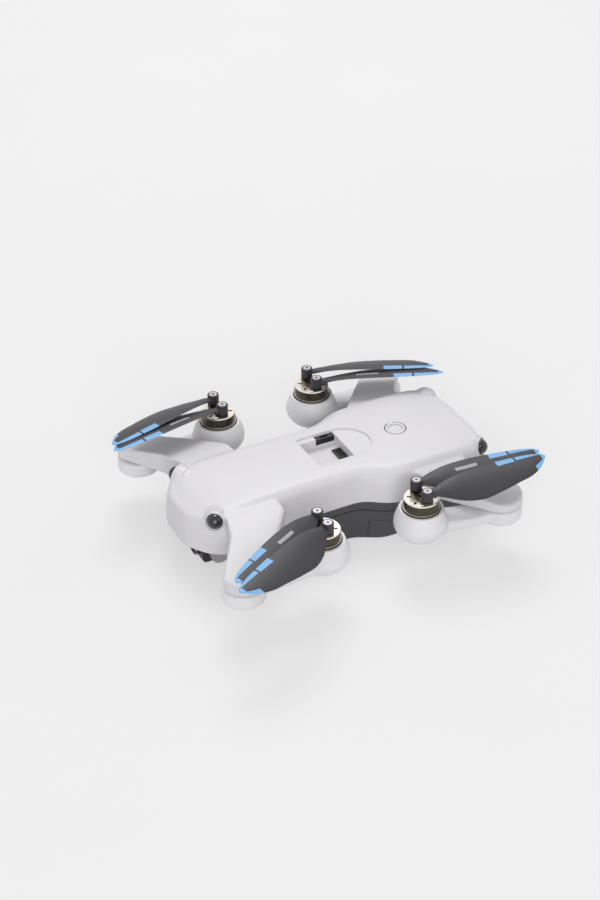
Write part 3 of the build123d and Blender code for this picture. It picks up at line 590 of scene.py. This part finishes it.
def ear_lobe(fore, side):
    """A shoulder that carries an arm hinge: its plan lobe drawn in from the rounded rim to the
    middle, between a flat floor and a top that falls away outwards."""
    lobe = np.vstack([[(44, 24), (44, 41), (55, 56), (80.6, 87.2)],
                      arc(HINGE_X, HINGE_Y, HINGE_R, 140, 0, 15),
                      [(86.5, 50), (82, 34), (80, 24)]])
    plan = soft_loop(lobe, 240, 1.0) * (fore, side)
    middle = np.array([74.0 * fore, 54.0 * side])
    profile = bspline([(0, 0), (0.9, 0), (1, 0), (1, 0.2), (1, 0.5), (1, 0.75), (0.995, 0.98),
                       (0.95, 1.0), (0.8, 1.0), (0.4, 1.0), (0, 1.0)], 40)
    grid = middle + (plan[None] - middle) * profile[:, None, :1]
    top = np.interp(np.abs(grid[..., 1]), [20, 40, 60, 87, 94],
                    [LIP + 6.6, LIP + 5.0, LIP + 1.4, LIP - 4.4, LIP - 6.2])
    z = 36.0 + (top - 36.0) * profile[:, None, 1]
    return skin(np.concatenate([grid, z[..., None]], axis=2))


def eye_axis(x, y):
    """Unit vector in which a corner eye looks: outward and a little up."""
    azimuth, up = math.radians(52.0), math.radians(12.0)
    return np.array([math.copysign(math.cos(azimuth) * math.cos(up), x),
                     math.copysign(math.sin(azimuth) * math.cos(up), y), math.sin(up)])


def stub(x, y, radius, back, ahead):
    """A disc on a corner eye's axis from back to ahead."""
    return lathe([(radius, back), (radius, ahead)], (x, y, EYE_Z), eye_axis(x, y), 64)


SEAT_HALF = 18.0
SEAT_FRONT, SEAT_BACK = 7.0, -20.5
SEAT_CORNER_R = 4.0
POCKET = (SEAT_BACK, 5.5, -13.5, 13.5)
POCKET_FLOOR = 48.6


def seat_loop():
    """Plan of the accessory seat: straight at the front with rounded corners, round at the back."""
    front = arc(SEAT_FRONT - SEAT_CORNER_R, SEAT_HALF - SEAT_CORNER_R, SEAT_CORNER_R, 0, 90, 9)
    back = arc(SEAT_BACK, 0, SEAT_HALF, 90, 270, 61)
    return np.vstack([front[::-1] * (1, -1), front, back])


def ring_groove():
    """A rectangle swept round the button, left open towards the right."""
    turn = np.radians(np.linspace(-90 + 12.5, 270 - 12.5, 73))
    across, up = np.array([(RING_R[0], 55.3), (RING_R[1], 55.3), (RING_R[1], 70.0),
                           (RING_R[0], 70.0)]).T
    return skin(np.stack([BUTTON_X + np.cos(turn)[:, None] * across,
                          np.sin(turn)[:, None] * across,
                          np.broadcast_to(up, (len(turn), 4))], axis=2))


class QUAD_OT_upper_shell(bpy.types.Operator):
    """Upper shell with ears, seat, pocket, button hole and eye sockets"""
    bl_idname = "quad.upper_shell"
    bl_label = "Upper shell"

    def execute(self, context):
        sizes = context.scene.quad_sizes
        wall = sizes.shell_wall / MM
        shell = mesh_object("upper_shell_skin", [body_levels()]
                            + [ear_lobe(*corner) for corner in CORNERS.values()]
                            + [stub(x, y, 7.0, -9.0, 0.2) for x, y in EYE_SPOTS])
        melt(shell, sizes.shell_voxel, 4)
        # hollow, then open below: higher behind the nose, where the belly meets it
        boolean(shell, [body_levels(inset=wall, low=10.0, drop=wall),
                        prism(box_loop(-130, 43, -110, 110), 5, 35),
                        prism(box_loop(42, 130, -110, 110), 5, 26)])
        # solid stock behind the eyes, round the pocket and under the button
        boolean(shell, [stub(x, y, 7.6, -7.0, -2.0) for x, y in EYE_SPOTS]
                + [prism(box_loop(-22.5, 7.5, -19.5, 15.5), 46.6, 55.4),
                   prism(ring_loop(BUTTON_X, 0, 8.2), 49, 54.9)], "UNION")
        # and what is cut out of it, with the hinge pins' holes
        seat = LIP + 8.4 - sizes.seat_depth / MM
        boolean(shell, [stub(x, y, 6.4, -3.5, 6.0) for x, y in EYE_SPOTS]
                + [prism(seat_loop(), seat, 70), prism(box_loop(*POCKET), POCKET_FLOOR, 70),
                   prism(box_loop(*NOTCH[:3], -12.5), NOTCH_FLOOR, 70),
                   prism(ring_loop(BUTTON_X, 0, BUTTON_HOLE_R), 45, 70), ring_groove()]
                + [prism(ring_loop(f * HINGE_X, s * HINGE_Y, 3.0), 30, 44)
                   for f, s in CORNERS.values()])
        finish_piece(shell, FINISHES["body_shell"], "airframe", ["upper_shell"], 30)
        return {"FINISHED"}


class QUAD_OT_port(bpy.types.Operator):
    """Black catch plate in the slot beside the pocket"""
    bl_idname = "quad.port"
    bl_label = "Accessory port"

    def execute(self, context):
        x0, x1, y0, y1 = NOTCH
        plate = mesh_object("catch_plate_skin", [prism(
            box_loop(x0 + 0.1, x1 - 0.1, y0 + 0.1, y1), NOTCH_FLOOR - 0.1, 54.9)])
        boolean(plate, [prism(box_loop(x0 + 4, x1 - 4, y0 + 1.2, y1 - 1.2), 53.6, 60)])
        finish_piece(plate, FINISHES["black_trim"], "airframe",
                     ["accessory_catch_plate"], 30)
        return {"FINISHED"}


class QUAD_OT_corner_eyes(bpy.types.Operator):
    """Four domed vision eyes and their bezels"""
    bl_idname = "quad.corner_eyes"
    bl_label = "Corner eyes"

    def execute(self, context):
        dome = np.vstack([[(0.02, -3.5), (EYE_R, -3.5), (EYE_R, -1.0)],
                          arc(0, -1.0, EYE_R, 6, 84, 14), [(0.02, EYE_R - 1.0)]])
        ring = [(5.25, -3.4), (6.35, -3.4), (6.35, -0.2), (6.1, 0.2), (5.7, 0.3), (5.35, 0.1),
                (5.25, -0.4), (5.25, -3.4)]
        eyes = mesh_object("corner_eye_domes",
                           [lathe(dome, (x, y, EYE_Z), eye_axis(x, y)) for x, y in EYE_SPOTS])
        finish_piece(eyes, FINISHES["dark_glass"], "airframe", ["corner_eyes"])
        rings = mesh_object("corner_eye_rings",
                            [lathe(ring, (x, y, EYE_Z), eye_axis(x, y)) for x, y in EYE_SPOTS])
        finish_piece(rings, FINISHES["body_shell"], "airframe",
                     ["corner_eye_bezels"])
        return {"FINISHED"}


BELLY_TOP = [(43, 34.4), (-13, 34), (-30, 46.3), (-92, 44.8), (-104, 35.5)]
BELLY_FOOT = [(37, 26), (-13, 27), (-30, 37), (-90, 36), (-99, 28)]


def belly_skin(inset=0.0, low=0.0, high=35.0, groove=0.8):
    """The tub's closed side and bottom: the foot loop widens to the top loop, with a rounded foot
    edge and one narrow groove 27 mm up. Inset moves it inward for the inside."""
    def loop(half):
        made = soft_loop(half + [(x, -y) for x, y in reversed(half)], 360, 4.0)
        return inward(made, inset) if inset else made

    foot, top = loop(BELLY_FOOT), loop(BELLY_TOP)
    marks = [(low, 1.6), (low + 0.4, 0.8), (low + 1.2, 0.2), (low + 2.2, 0), (8, 0), (14, 0),
             (20, 0), (25, 0), (26.4, 0), (26.6, groove), (27.2, groove), (27.4, 0), (30, 0),
             (high, 0)]
    rows = []
    for z, pull in marks:
        share = min(max(z / 35.0, 0), 1) ** 0.8
        plan = foot + (top - foot) * share
        rows.append(np.column_stack([inward(plan, pull) if pull else plan, np.full(360, z)]))
    return skin(np.array(rows))


class QUAD_OT_belly(bpy.types.Operator):
    """Belly tub with its nose plate and battery bay, and the battery that slides into it"""
    bl_idname = "quad.belly"
    bl_label = "Belly and battery"

    def execute(self, context):
        tub = mesh_object("belly_tub", [belly_skin()])
        # battery bay with its rail slot, and the sensor window's seat
        boolean(tub, [prism(box_loop(-130, -20, -100, 100), -5, 18.3),
                      prism(box_loop(-130, -20, -12.3, 12.3), 17, 23),
                      prism(box_loop(-130, -20, -16.3, 16.3), 19.9, 23.3),
                      prism(box_loop(2, 32, -10, 10), -5, 1.2)])
        cavity = mesh_object("cavity", [belly_skin(inset=2.2, low=2.0, high=40.0, groove=0.0)])
        boolean(cavity, [prism(box_loop(-130, -18, -100, 100), -5, 25.5)])
        step = tub.modifiers.new("hollow", "BOOLEAN")
        step.operation, step.solver, step.object = "DIFFERENCE", "MANIFOLD", cavity
        settle(tub)
        bpy.data.objects.remove(cavity)
        # floor under the nose
        plate = soft_loop(FLANK + [(x, -y) for x, y in reversed(FLANK)], 240, 4.0)
        plate = inward(plate, 4.5)
        boolean(tub, [prism(plate[plate[:, 0] >= 36], 28, 30)], "UNION")
        finish_piece(tub, FINISHES["belly_shell"], "airframe", ["belly_shell"], 28)
        # the same skin cut to the bay, less a clearance, with the rail on top
        pack = mesh_object("battery_skin", [belly_skin()])
        boolean(pack, [prism(box_loop(-102.6, -20.3, -60, 60), 0, 18.0)], "INTERSECT")
        boolean(pack, [prism(box_loop(-98, -21, -12, 12), 17.5, 23),
                       prism(box_loop(-98, -21, -16, 16), 20.2, 23)], "UNION")
        # room for the cells, the contacts and the latch
        boolean(pack, [prism(box_loop(-96, -26, -30, 30), 2, 16),
                       prism(box_loop(-24, -19, -12, 12), 5, 11),
                       prism(box_loop(-106, -95, -9.2, 9.2), 5.8, 12.2)])
        finish_piece(pack, FINISHES["belly_shell"], "battery", ["battery_case"], 28)
        return {"FINISHED"}


class QUAD_OT_cad_finishes(bpy.types.Operator):
    """Gives every CAD node the material of its slot"""
    bl_idname = "quad.cad_finishes"
    bl_label = "CAD finishes"

    def execute(self, context):
        slots = {part["node"]: part["material_slot"] for part in frame["record"]["subparts"]}
        for name, item in frame["nodes"].items():
            for index in range(len(item.material_slots)):
                item.material_slots[index].material = FINISHES[slots[name]]
        return {"FINISHED"}


# ------------------------------------------------------------------ arms
# the pod from the middle of its foot to its rim: radius, and height over the rim
POD = [(0.02, -22.0), (8.6, -22.0), (10.4, -21.5), (13.2, -19.6), (15.5, -17.0), (17.0, -14.0),
       (17.6, -11.4), (17.4, -9.0), (16.6, -6.0), (15.4, -2.9), (14.2, 0.0)]


ARM_POWER = 0.45  # 1 would give the arms a plain elliptic section


class QUAD_OT_arms(bpy.types.Operator):
    """Four arms: hinge disc, flared beam and egg-cup pod"""
    bl_idname = "quad.arms"
    bl_label = "Arms"

    def execute(self, context):
        sizes = context.scene.quad_sizes
        for name, (fore, side) in CORNERS.items():
            hinge = np.array([fore * HINGE_X, side * HINGE_Y])
            motor = np.array([fore * MOTOR_X, side * MOTOR_Y])
            along = motor - hinge
            along /= np.linalg.norm(along)
            across = np.array([-along[1], along[0]])
            # stations: distance from the hinge, half width, top and bottom under the rim
            stations = [(2, 9.0, -12.4, -20), (16, 9.0, -12.4, -20), (26, 9.0, -12.0, -20),
                        (36, 9.0, -10.6, -20), (44, 9.6, -9.4, -20), (49, 11.0, -8.4, -20.4),
                        (54, 12.5, -7.0, -21)]
            at = np.linspace(2, 54, 60)
            shape = through(stations, at)
            turn = np.linspace(0, 2 * np.pi, 64, endpoint=False)
            # superellipse section: signed powers of cosine and sine
            wide = np.sign(np.cos(turn)) * np.abs(np.cos(turn)) ** ARM_POWER
            tall = np.sign(np.sin(turn)) * np.abs(np.sin(turn)) ** ARM_POWER
            centre = hinge + at[:, None] * along
            plan = centre[:, None] + across * (shape[:, :1] * wide)[..., None]
            upper, lower = shape[:, 1:2], shape[:, 2:3]
            z = LIP + (upper + lower) / 2 + (upper - lower) / 2 * tall
            beam = skin(np.concatenate([plan, z[..., None]], axis=2))
            pod = lathe(POD + [(13.5, 3.0), (13.0, 6.0)], (motor[0], motor[1], LIP))
            disc = lathe([(0.02, -22.0), (13.2, -22), (HINGE_R, -21.2), (HINGE_R, -13.0),
                          (13.4, -12.4), (0.02, -12.4)], (hinge[0], hinge[1], LIP))
            arm = mesh_object(f"arm_{name}_skin", [pod, beam, disc])
            melt(arm, sizes.arm_voxel, 7)
            # trim to the rim, bore the pod for the motor and the disc for its pin
            boolean(arm, [prism(ring_loop(motor[0], motor[1], 30, 32), LIP, LIP + 20),
                          prism(ring_loop(motor[0], motor[1], 12.65, 128), LIP - 14, LIP + 10),
                          prism(ring_loop(hinge[0], hinge[1], 3.05, 48), LIP - 30, LIP)])
            finish_piece(arm, FINISHES["arm_shell"], f"arm_{name}", [f"arm_{name}"],
                         40)
        return {"FINISHED"}


# ------------------------------------------------------------------ motors and blades
SLOT_R = 0.75  # half width of the six slots in a bell's top
SHAFT_R = 1.5


class QUAD_OT_motors(bpy.types.Operator):
    """Four turned bells with slotted tops"""
    bl_idname = "quad.motors"
    bl_label = "Motors"

    def execute(self, context):
        for name, (fore, side) in CORNERS.items():
            x, y = fore * MOTOR_X, side * MOTOR_Y
            bell = mesh_object(f"bell_{name}_skin", [lathe(
                [(10.6, -8.5), (11.3, -8.5), (11.5, -8.3), (11.5, 0.35), (11.95, 0.45), (12.0, 0.6),
                 (12.0, 1.0), (11.95, 1.15), (11.5, 1.25), (11.5, 7.1), (11.45, 7.4), (11.1, 7.8),
                 (10.9, 7.9), (9.6, 7.9), (9.5, 7.75), (9.3, 7.75), (9.2, 7.9), (3.2, 7.9),
                 (0.02, 7.9), (0.02, 6.4), (10.6, 6.4), (10.6, -8.5)], (x, y, LIP), segments=128)])
            cuts = []
            t = np.linspace(0.05, 2 * math.pi + 0.05, 24, endpoint=False)
            for k in range(6):
                a = math.radians(60 * k + 30)
                mid = np.array([x + 7.9 * math.cos(a), y + 7.9 * math.sin(a)])
                u = np.array([math.cos(a), math.sin(a)])
                v = np.array([-u[1], u[0]])
                loop = (mid + u * (0.9 * np.sign(np.cos(t)) + SLOT_R * np.cos(t))[:, None]
                        + v * (SLOT_R * np.sin(t))[:, None])
                cuts.append(prism(loop, LIP + 5, LIP + 10))
            boolean(bell, cuts)
            finish_piece(bell, FINISHES["motor_bell"], f"rotor_{name}",
                         [f"bell_{name}"], 25)
            shaft = mesh_object(f"shaft_{name}", [lathe(
                [(0.02, -13), (SHAFT_R, -13), (SHAFT_R, 6.6), (0.02, 6.6)], (x, y, LIP))])
            finish_piece(shaft, FINISHES["screw_steel"], f"rotor_{name}",
                         [f"bell_{name}"])
        return {"FINISHED"}


BLADE_FOOT = LIP + 9.9  # underside of the screw eyes
BLADE_TIP = 86.2
# distance from the screw, leading edge, trailing edge, pitch in degrees, rise
BLADE_STATIONS = [(0.0, 2.6, -2.6, 4.0, 0.0), (3.0, 2.8, -2.8, 8.0, 0.3),
                  (8.0, 4.2, -5.5, 16.0, 1.0), (18.0, 6.2, -12.0, 21.0, 2.0),
                  (32.0, 7.4, -16.5, 20.0, 2.6),
                  (46.0, 7.6, -15.5, 17.5, 2.8), (60.0, 7.2, -13.0, 15.0, 2.8),
                  (70.0, 6.6, -11.0, 13.5, 2.8), (77.0, 5.8, -7.8, 12.0, 2.8),
                  (82.0, 4.6, -3.8, 11.0, 2.8), (85.0, 3.2, -0.6, 10.2, 2.8),
                  (BLADE_TIP, 2.0, 1.0, 10.0, 2.8)]


class QUAD_OT_blades(bpy.types.Operator):
    """Eight blades: a screw eye and a pitched, cambered blade with a printed tip"""
    bl_idname = "quad.blades"
    bl_label = "Blades"

    def execute(self, context):
        for name, (fore, side) in CORNERS.items():
            for which, sign in (("outer", side), ("inner", -side)):
                lean = BLADE_REST[name] - sign * side * BLADE_TOE[name]
                azimuth = math.radians((0 if fore > 0 else 180) + fore * side * lean)
                x, y = fore * MOTOR_X, side * MOTOR_Y + sign * POST_Y
                self.blade(name, which, x, y, azimuth, -fore * side)
        return {"FINISHED"}

    def blade(self, name, which, x, y, azimuth, lead_side):
        """Teardrop sections along a line from the screw: half a chord times the cosine across,
        a thickness times the sine upward, set on a camber line and turned by the pitch."""
        along = np.array([math.cos(azimuth), math.sin(azimuth), 0.0])
        across = np.array([-along[1], along[0], 0.0]) * lead_side
        reach = np.concatenate([np.linspace(1.5, 80, 76), np.linspace(81, BLADE_TIP, 14)])
        lead, trail, pitch, rise = through(BLADE_STATIONS, reach).T
        pitch = np.radians(pitch)
        centre = np.array([x, y, BLADE_FOOT + 3.6]) + reach[:, None] * along
        centre[:, 2] += rise
        chord = across * np.cos(pitch)[:, None] + np.array([0, 0, 1.0]) * np.sin(pitch)[:, None]
        lift = np.cross(chord, along)
        lift *= np.sign(lift[:, 2:3])
        half = (lead - trail) / 2
        turn = np.linspace(0, 2 * np.pi, 56, endpoint=False)
        share = np.cos(turn)
        thick = np.interp(reach, [0, 5, 14, 80, 86], [1.5, 1.35, 0.8, 0.6, 0.4])
        # teardrop section, fuller towards the leading edge, on a camber line
        bulge = thick[:, None] * np.sin(turn) * (1 + 0.3 * share)
        camber = (0.035 * (lead - trail))[:, None] * (1 - share ** 2)
        sideways = ((lead + trail) / 2)[:, None] + half[:, None] * share
        grid = (centre[:, None] + chord[:, None] * sideways[..., None]
                + lift[:, None] * (bulge + camber)[..., None])
        grid[..., 2] = np.maximum(grid[..., 2], BLADE_FOOT + 0.05)
        blade = mesh_object(f"blade_{name}_{which}_skin", [skin(grid)])
        eye = lathe([(0.02, 0), (3.5, 0), (3.8, 0.3), (3.8, 6.6), (3.5, 7.0), (0.02, 7.0)],
                    (x, y, BLADE_FOOT), segments=64)
        boolean(blade, [eye], "UNION")
        # screw hole and the sinking for its head
        boolean(blade, [prism(ring_loop(x, y, 1.3, 32), BLADE_FOOT - 1, BLADE_FOOT + 9),
                        prism(ring_loop(x, y, 3.0, 48), BLADE_FOOT + 5.8, BLADE_FOOT + 9)])
        # UV: mm from the screw / 100, and the share of the chord from the leading edge
        mesh = blade.data
        count = len(mesh.loops)
        corner = np.zeros(count, np.int32)
        mesh.loops.foreach_get("vertex_index", corner)
        points = np.zeros(len(mesh.vertices) * 3, np.float32)
        mesh.vertices.foreach_get("co", points)
        points = points.reshape(-1, 3) / MM - np.array([x, y, 0])
        far = points @ along
        lead_at, trail_at, _, _ = through(BLADE_STATIONS, np.clip(far, 0, BLADE_TIP)).T
        share = np.clip((lead_at - points @ across) / np.maximum(lead_at - trail_at, 0.5), 0, 1)
        uv = np.stack([far / 100, share], axis=1)[corner]
        layer = mesh.uv_layers.new(name="blade")
        layer.data.foreach_set("uv", uv.astype(np.float32).ravel())
        material = FINISHES["blade_inner" if which == "inner" else "blade"]
        finish_piece(blade, material, f"blade_{name}_{which}",
                     [f"blade_{name}_{which}"], 35)


# ------------------------------------------------------------------ stage
# where the camera looks, from which side, from how many metres, and how far its frame shifts
CAMERA_AIM = (0, 0, 0.048)
CAMERA_SIDE = (0.383, 0.727, 0.570)
CAMERA_REACH = 1.365
CAMERA_SHIFT = (-0.01856, 0.01378)


class QUAD_OT_stage(bpy.types.Operator):
    """Pale floor, soft lights and the camera"""
    bl_idname = "quad.stage"
    bl_label = "Stage"

    def execute(self, context):
        scene = context.scene
        scene.view_settings.view_transform = "Standard"
        floor = mesh_object("floor", [prism(ring_loop(0, 0, 20000, 96), -2, -0.02)])
        material, tree, where = new_material("matt_paper")
        soft = node(tree, "ShaderNodeTexNoise", {"Scale": 8.0}, {"Vector": (where, "Object")})
        tone = node(tree, "ShaderNodeMix", {"A": linear("#E9E9EA"), "B": linear("#E5E5E6")},
                    {"Factor": (soft, "Fac")}, data_type="RGBA")
        matt = node(tree, "ShaderNodeBsdfDiffuse", {"Roughness": 0.6}, {"Color": (tone, "Result")})
        glow = node(tree, "ShaderNodeEmission", {"Color": linear("#FFFFFF"), "Strength": 1.0})
        share = node(tree, "ShaderNodeMath", {1: 0.5}, {0: (self.seen_rays(tree), "Value")},
                     operation="MULTIPLY")
        pale = node(tree, "ShaderNodeMixShader",
                    links={"Fac": (share, "Value"), 1: (matt, 0), 2: (glow, 0)})
        floor.data.materials.append(surface(material, tree, pale))
        world = bpy.data.worlds.new("soft_studio")
        scene.world = world
        world.use_nodes = True
        tree = world.node_tree
        tree.nodes.clear()
        fill = node(tree, "ShaderNodeBackground", {"Color": linear("#F5F3F4"), "Strength": 0.57})
        seen = node(tree, "ShaderNodeBackground", {"Color": linear("#F0F0F0"), "Strength": 1.0})
        mix = node(tree, "ShaderNodeMixShader",
                   links={"Fac": (self.seen_rays(tree), "Value"), 1: (fill, 0), 2: (seen, 0)})
        node(tree, "ShaderNodeOutputWorld", links={"Surface": (mix, 0)})
        self.lamp("key", (-0.35, -0.75, 1.5), 0.9, 11.6)
        self.lamp("fill", (0.7, 1.5, 0.75), 1.2, 11.0)
        self.camera(scene)
        return {"FINISHED"}

    def seen_rays(self, tree):
        """1 for a camera, glossy or transmission ray, 0 for a ray that only carries light."""
        rays = node(tree, "ShaderNodeLightPath")
        two = node(tree, "ShaderNodeMath", links={0: (rays, "Is Camera Ray"),
                                                  1: (rays, "Is Glossy Ray")}, operation="MAXIMUM")
        return node(tree, "ShaderNodeMath", links={0: (two, "Value"),
                                                   1: (rays, "Is Transmission Ray")},
                    operation="MAXIMUM")

    def lamp(self, name, place, size, power):
        data = bpy.data.lights.new(name, "AREA")
        data.shape = "DISK"
        data.size = size
        data.energy = power
        lamp = bpy.data.objects.new(name, data)
        lamp.location = place
        aim = -np.array(place)
        lamp.rotation_mode = "QUATERNION"
        lamp.rotation_quaternion = Vector(aim.tolist()).to_track_quat("-Z", "Y")
        bpy.context.scene.collection.objects.link(lamp)

    def camera(self, scene):
        data = bpy.data.cameras.new("camera")
        data.lens = scene.quad_sizes.camera_lens
        data.sensor_width = 36.0
        data.shift_x, data.shift_y = CAMERA_SHIFT
        camera = bpy.data.objects.new("camera", data)
        back = Vector(CAMERA_SIDE).normalized()
        camera.location = Vector(CAMERA_AIM) + back * CAMERA_REACH
        camera.rotation_mode = "QUATERNION"
        camera.rotation_quaternion = (-back).to_track_quat("-Z", "Y")
        scene.collection.objects.link(camera)
        scene.camera = camera


PIECES = [QUAD_OT_stage, QUAD_OT_cad_finishes, QUAD_OT_upper_shell, QUAD_OT_port,
          QUAD_OT_corner_eyes, QUAD_OT_belly, QUAD_OT_arms, QUAD_OT_motors, QUAD_OT_blades]


class QUAD_PT_panel(bpy.types.Panel):
    """Sidebar panel that lists the pieces, sizes and colours"""
    bl_idname = "QUAD_PT_panel"
    bl_label = "Folded camera quadcopter"
    bl_space_type = "VIEW_3D"
    bl_region_type = "UI"
    bl_category = "Quadcopter"

    def draw(self, context):
        for group in (context.scene.quad_sizes, context.scene.quad_colours):
            for name in group.__annotations__:
                self.layout.prop(group, name)
        for piece in PIECES:
            self.layout.operator(piece.bl_idname)


CLASSES = [QuadColours, QuadSizes, *PIECES, QUAD_PT_panel]


def register():
    for item in CLASSES:
        bpy.utils.register_class(item)
    bpy.types.Scene.quad_colours = PointerProperty(type=QuadColours)
    bpy.types.Scene.quad_sizes = PointerProperty(type=QuadSizes)


def unregister():
    del bpy.types.Scene.quad_sizes
    del bpy.types.Scene.quad_colours
    for item in reversed(CLASSES):
        bpy.utils.unregister_class(item)


def main():
    """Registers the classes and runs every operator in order."""
    register()
    make_finishes()
    for piece in PIECES:
        group, name = piece.bl_idname.split(".")
        getattr(getattr(bpy.ops, group), name)()


if __name__ == "__main__":
    main()
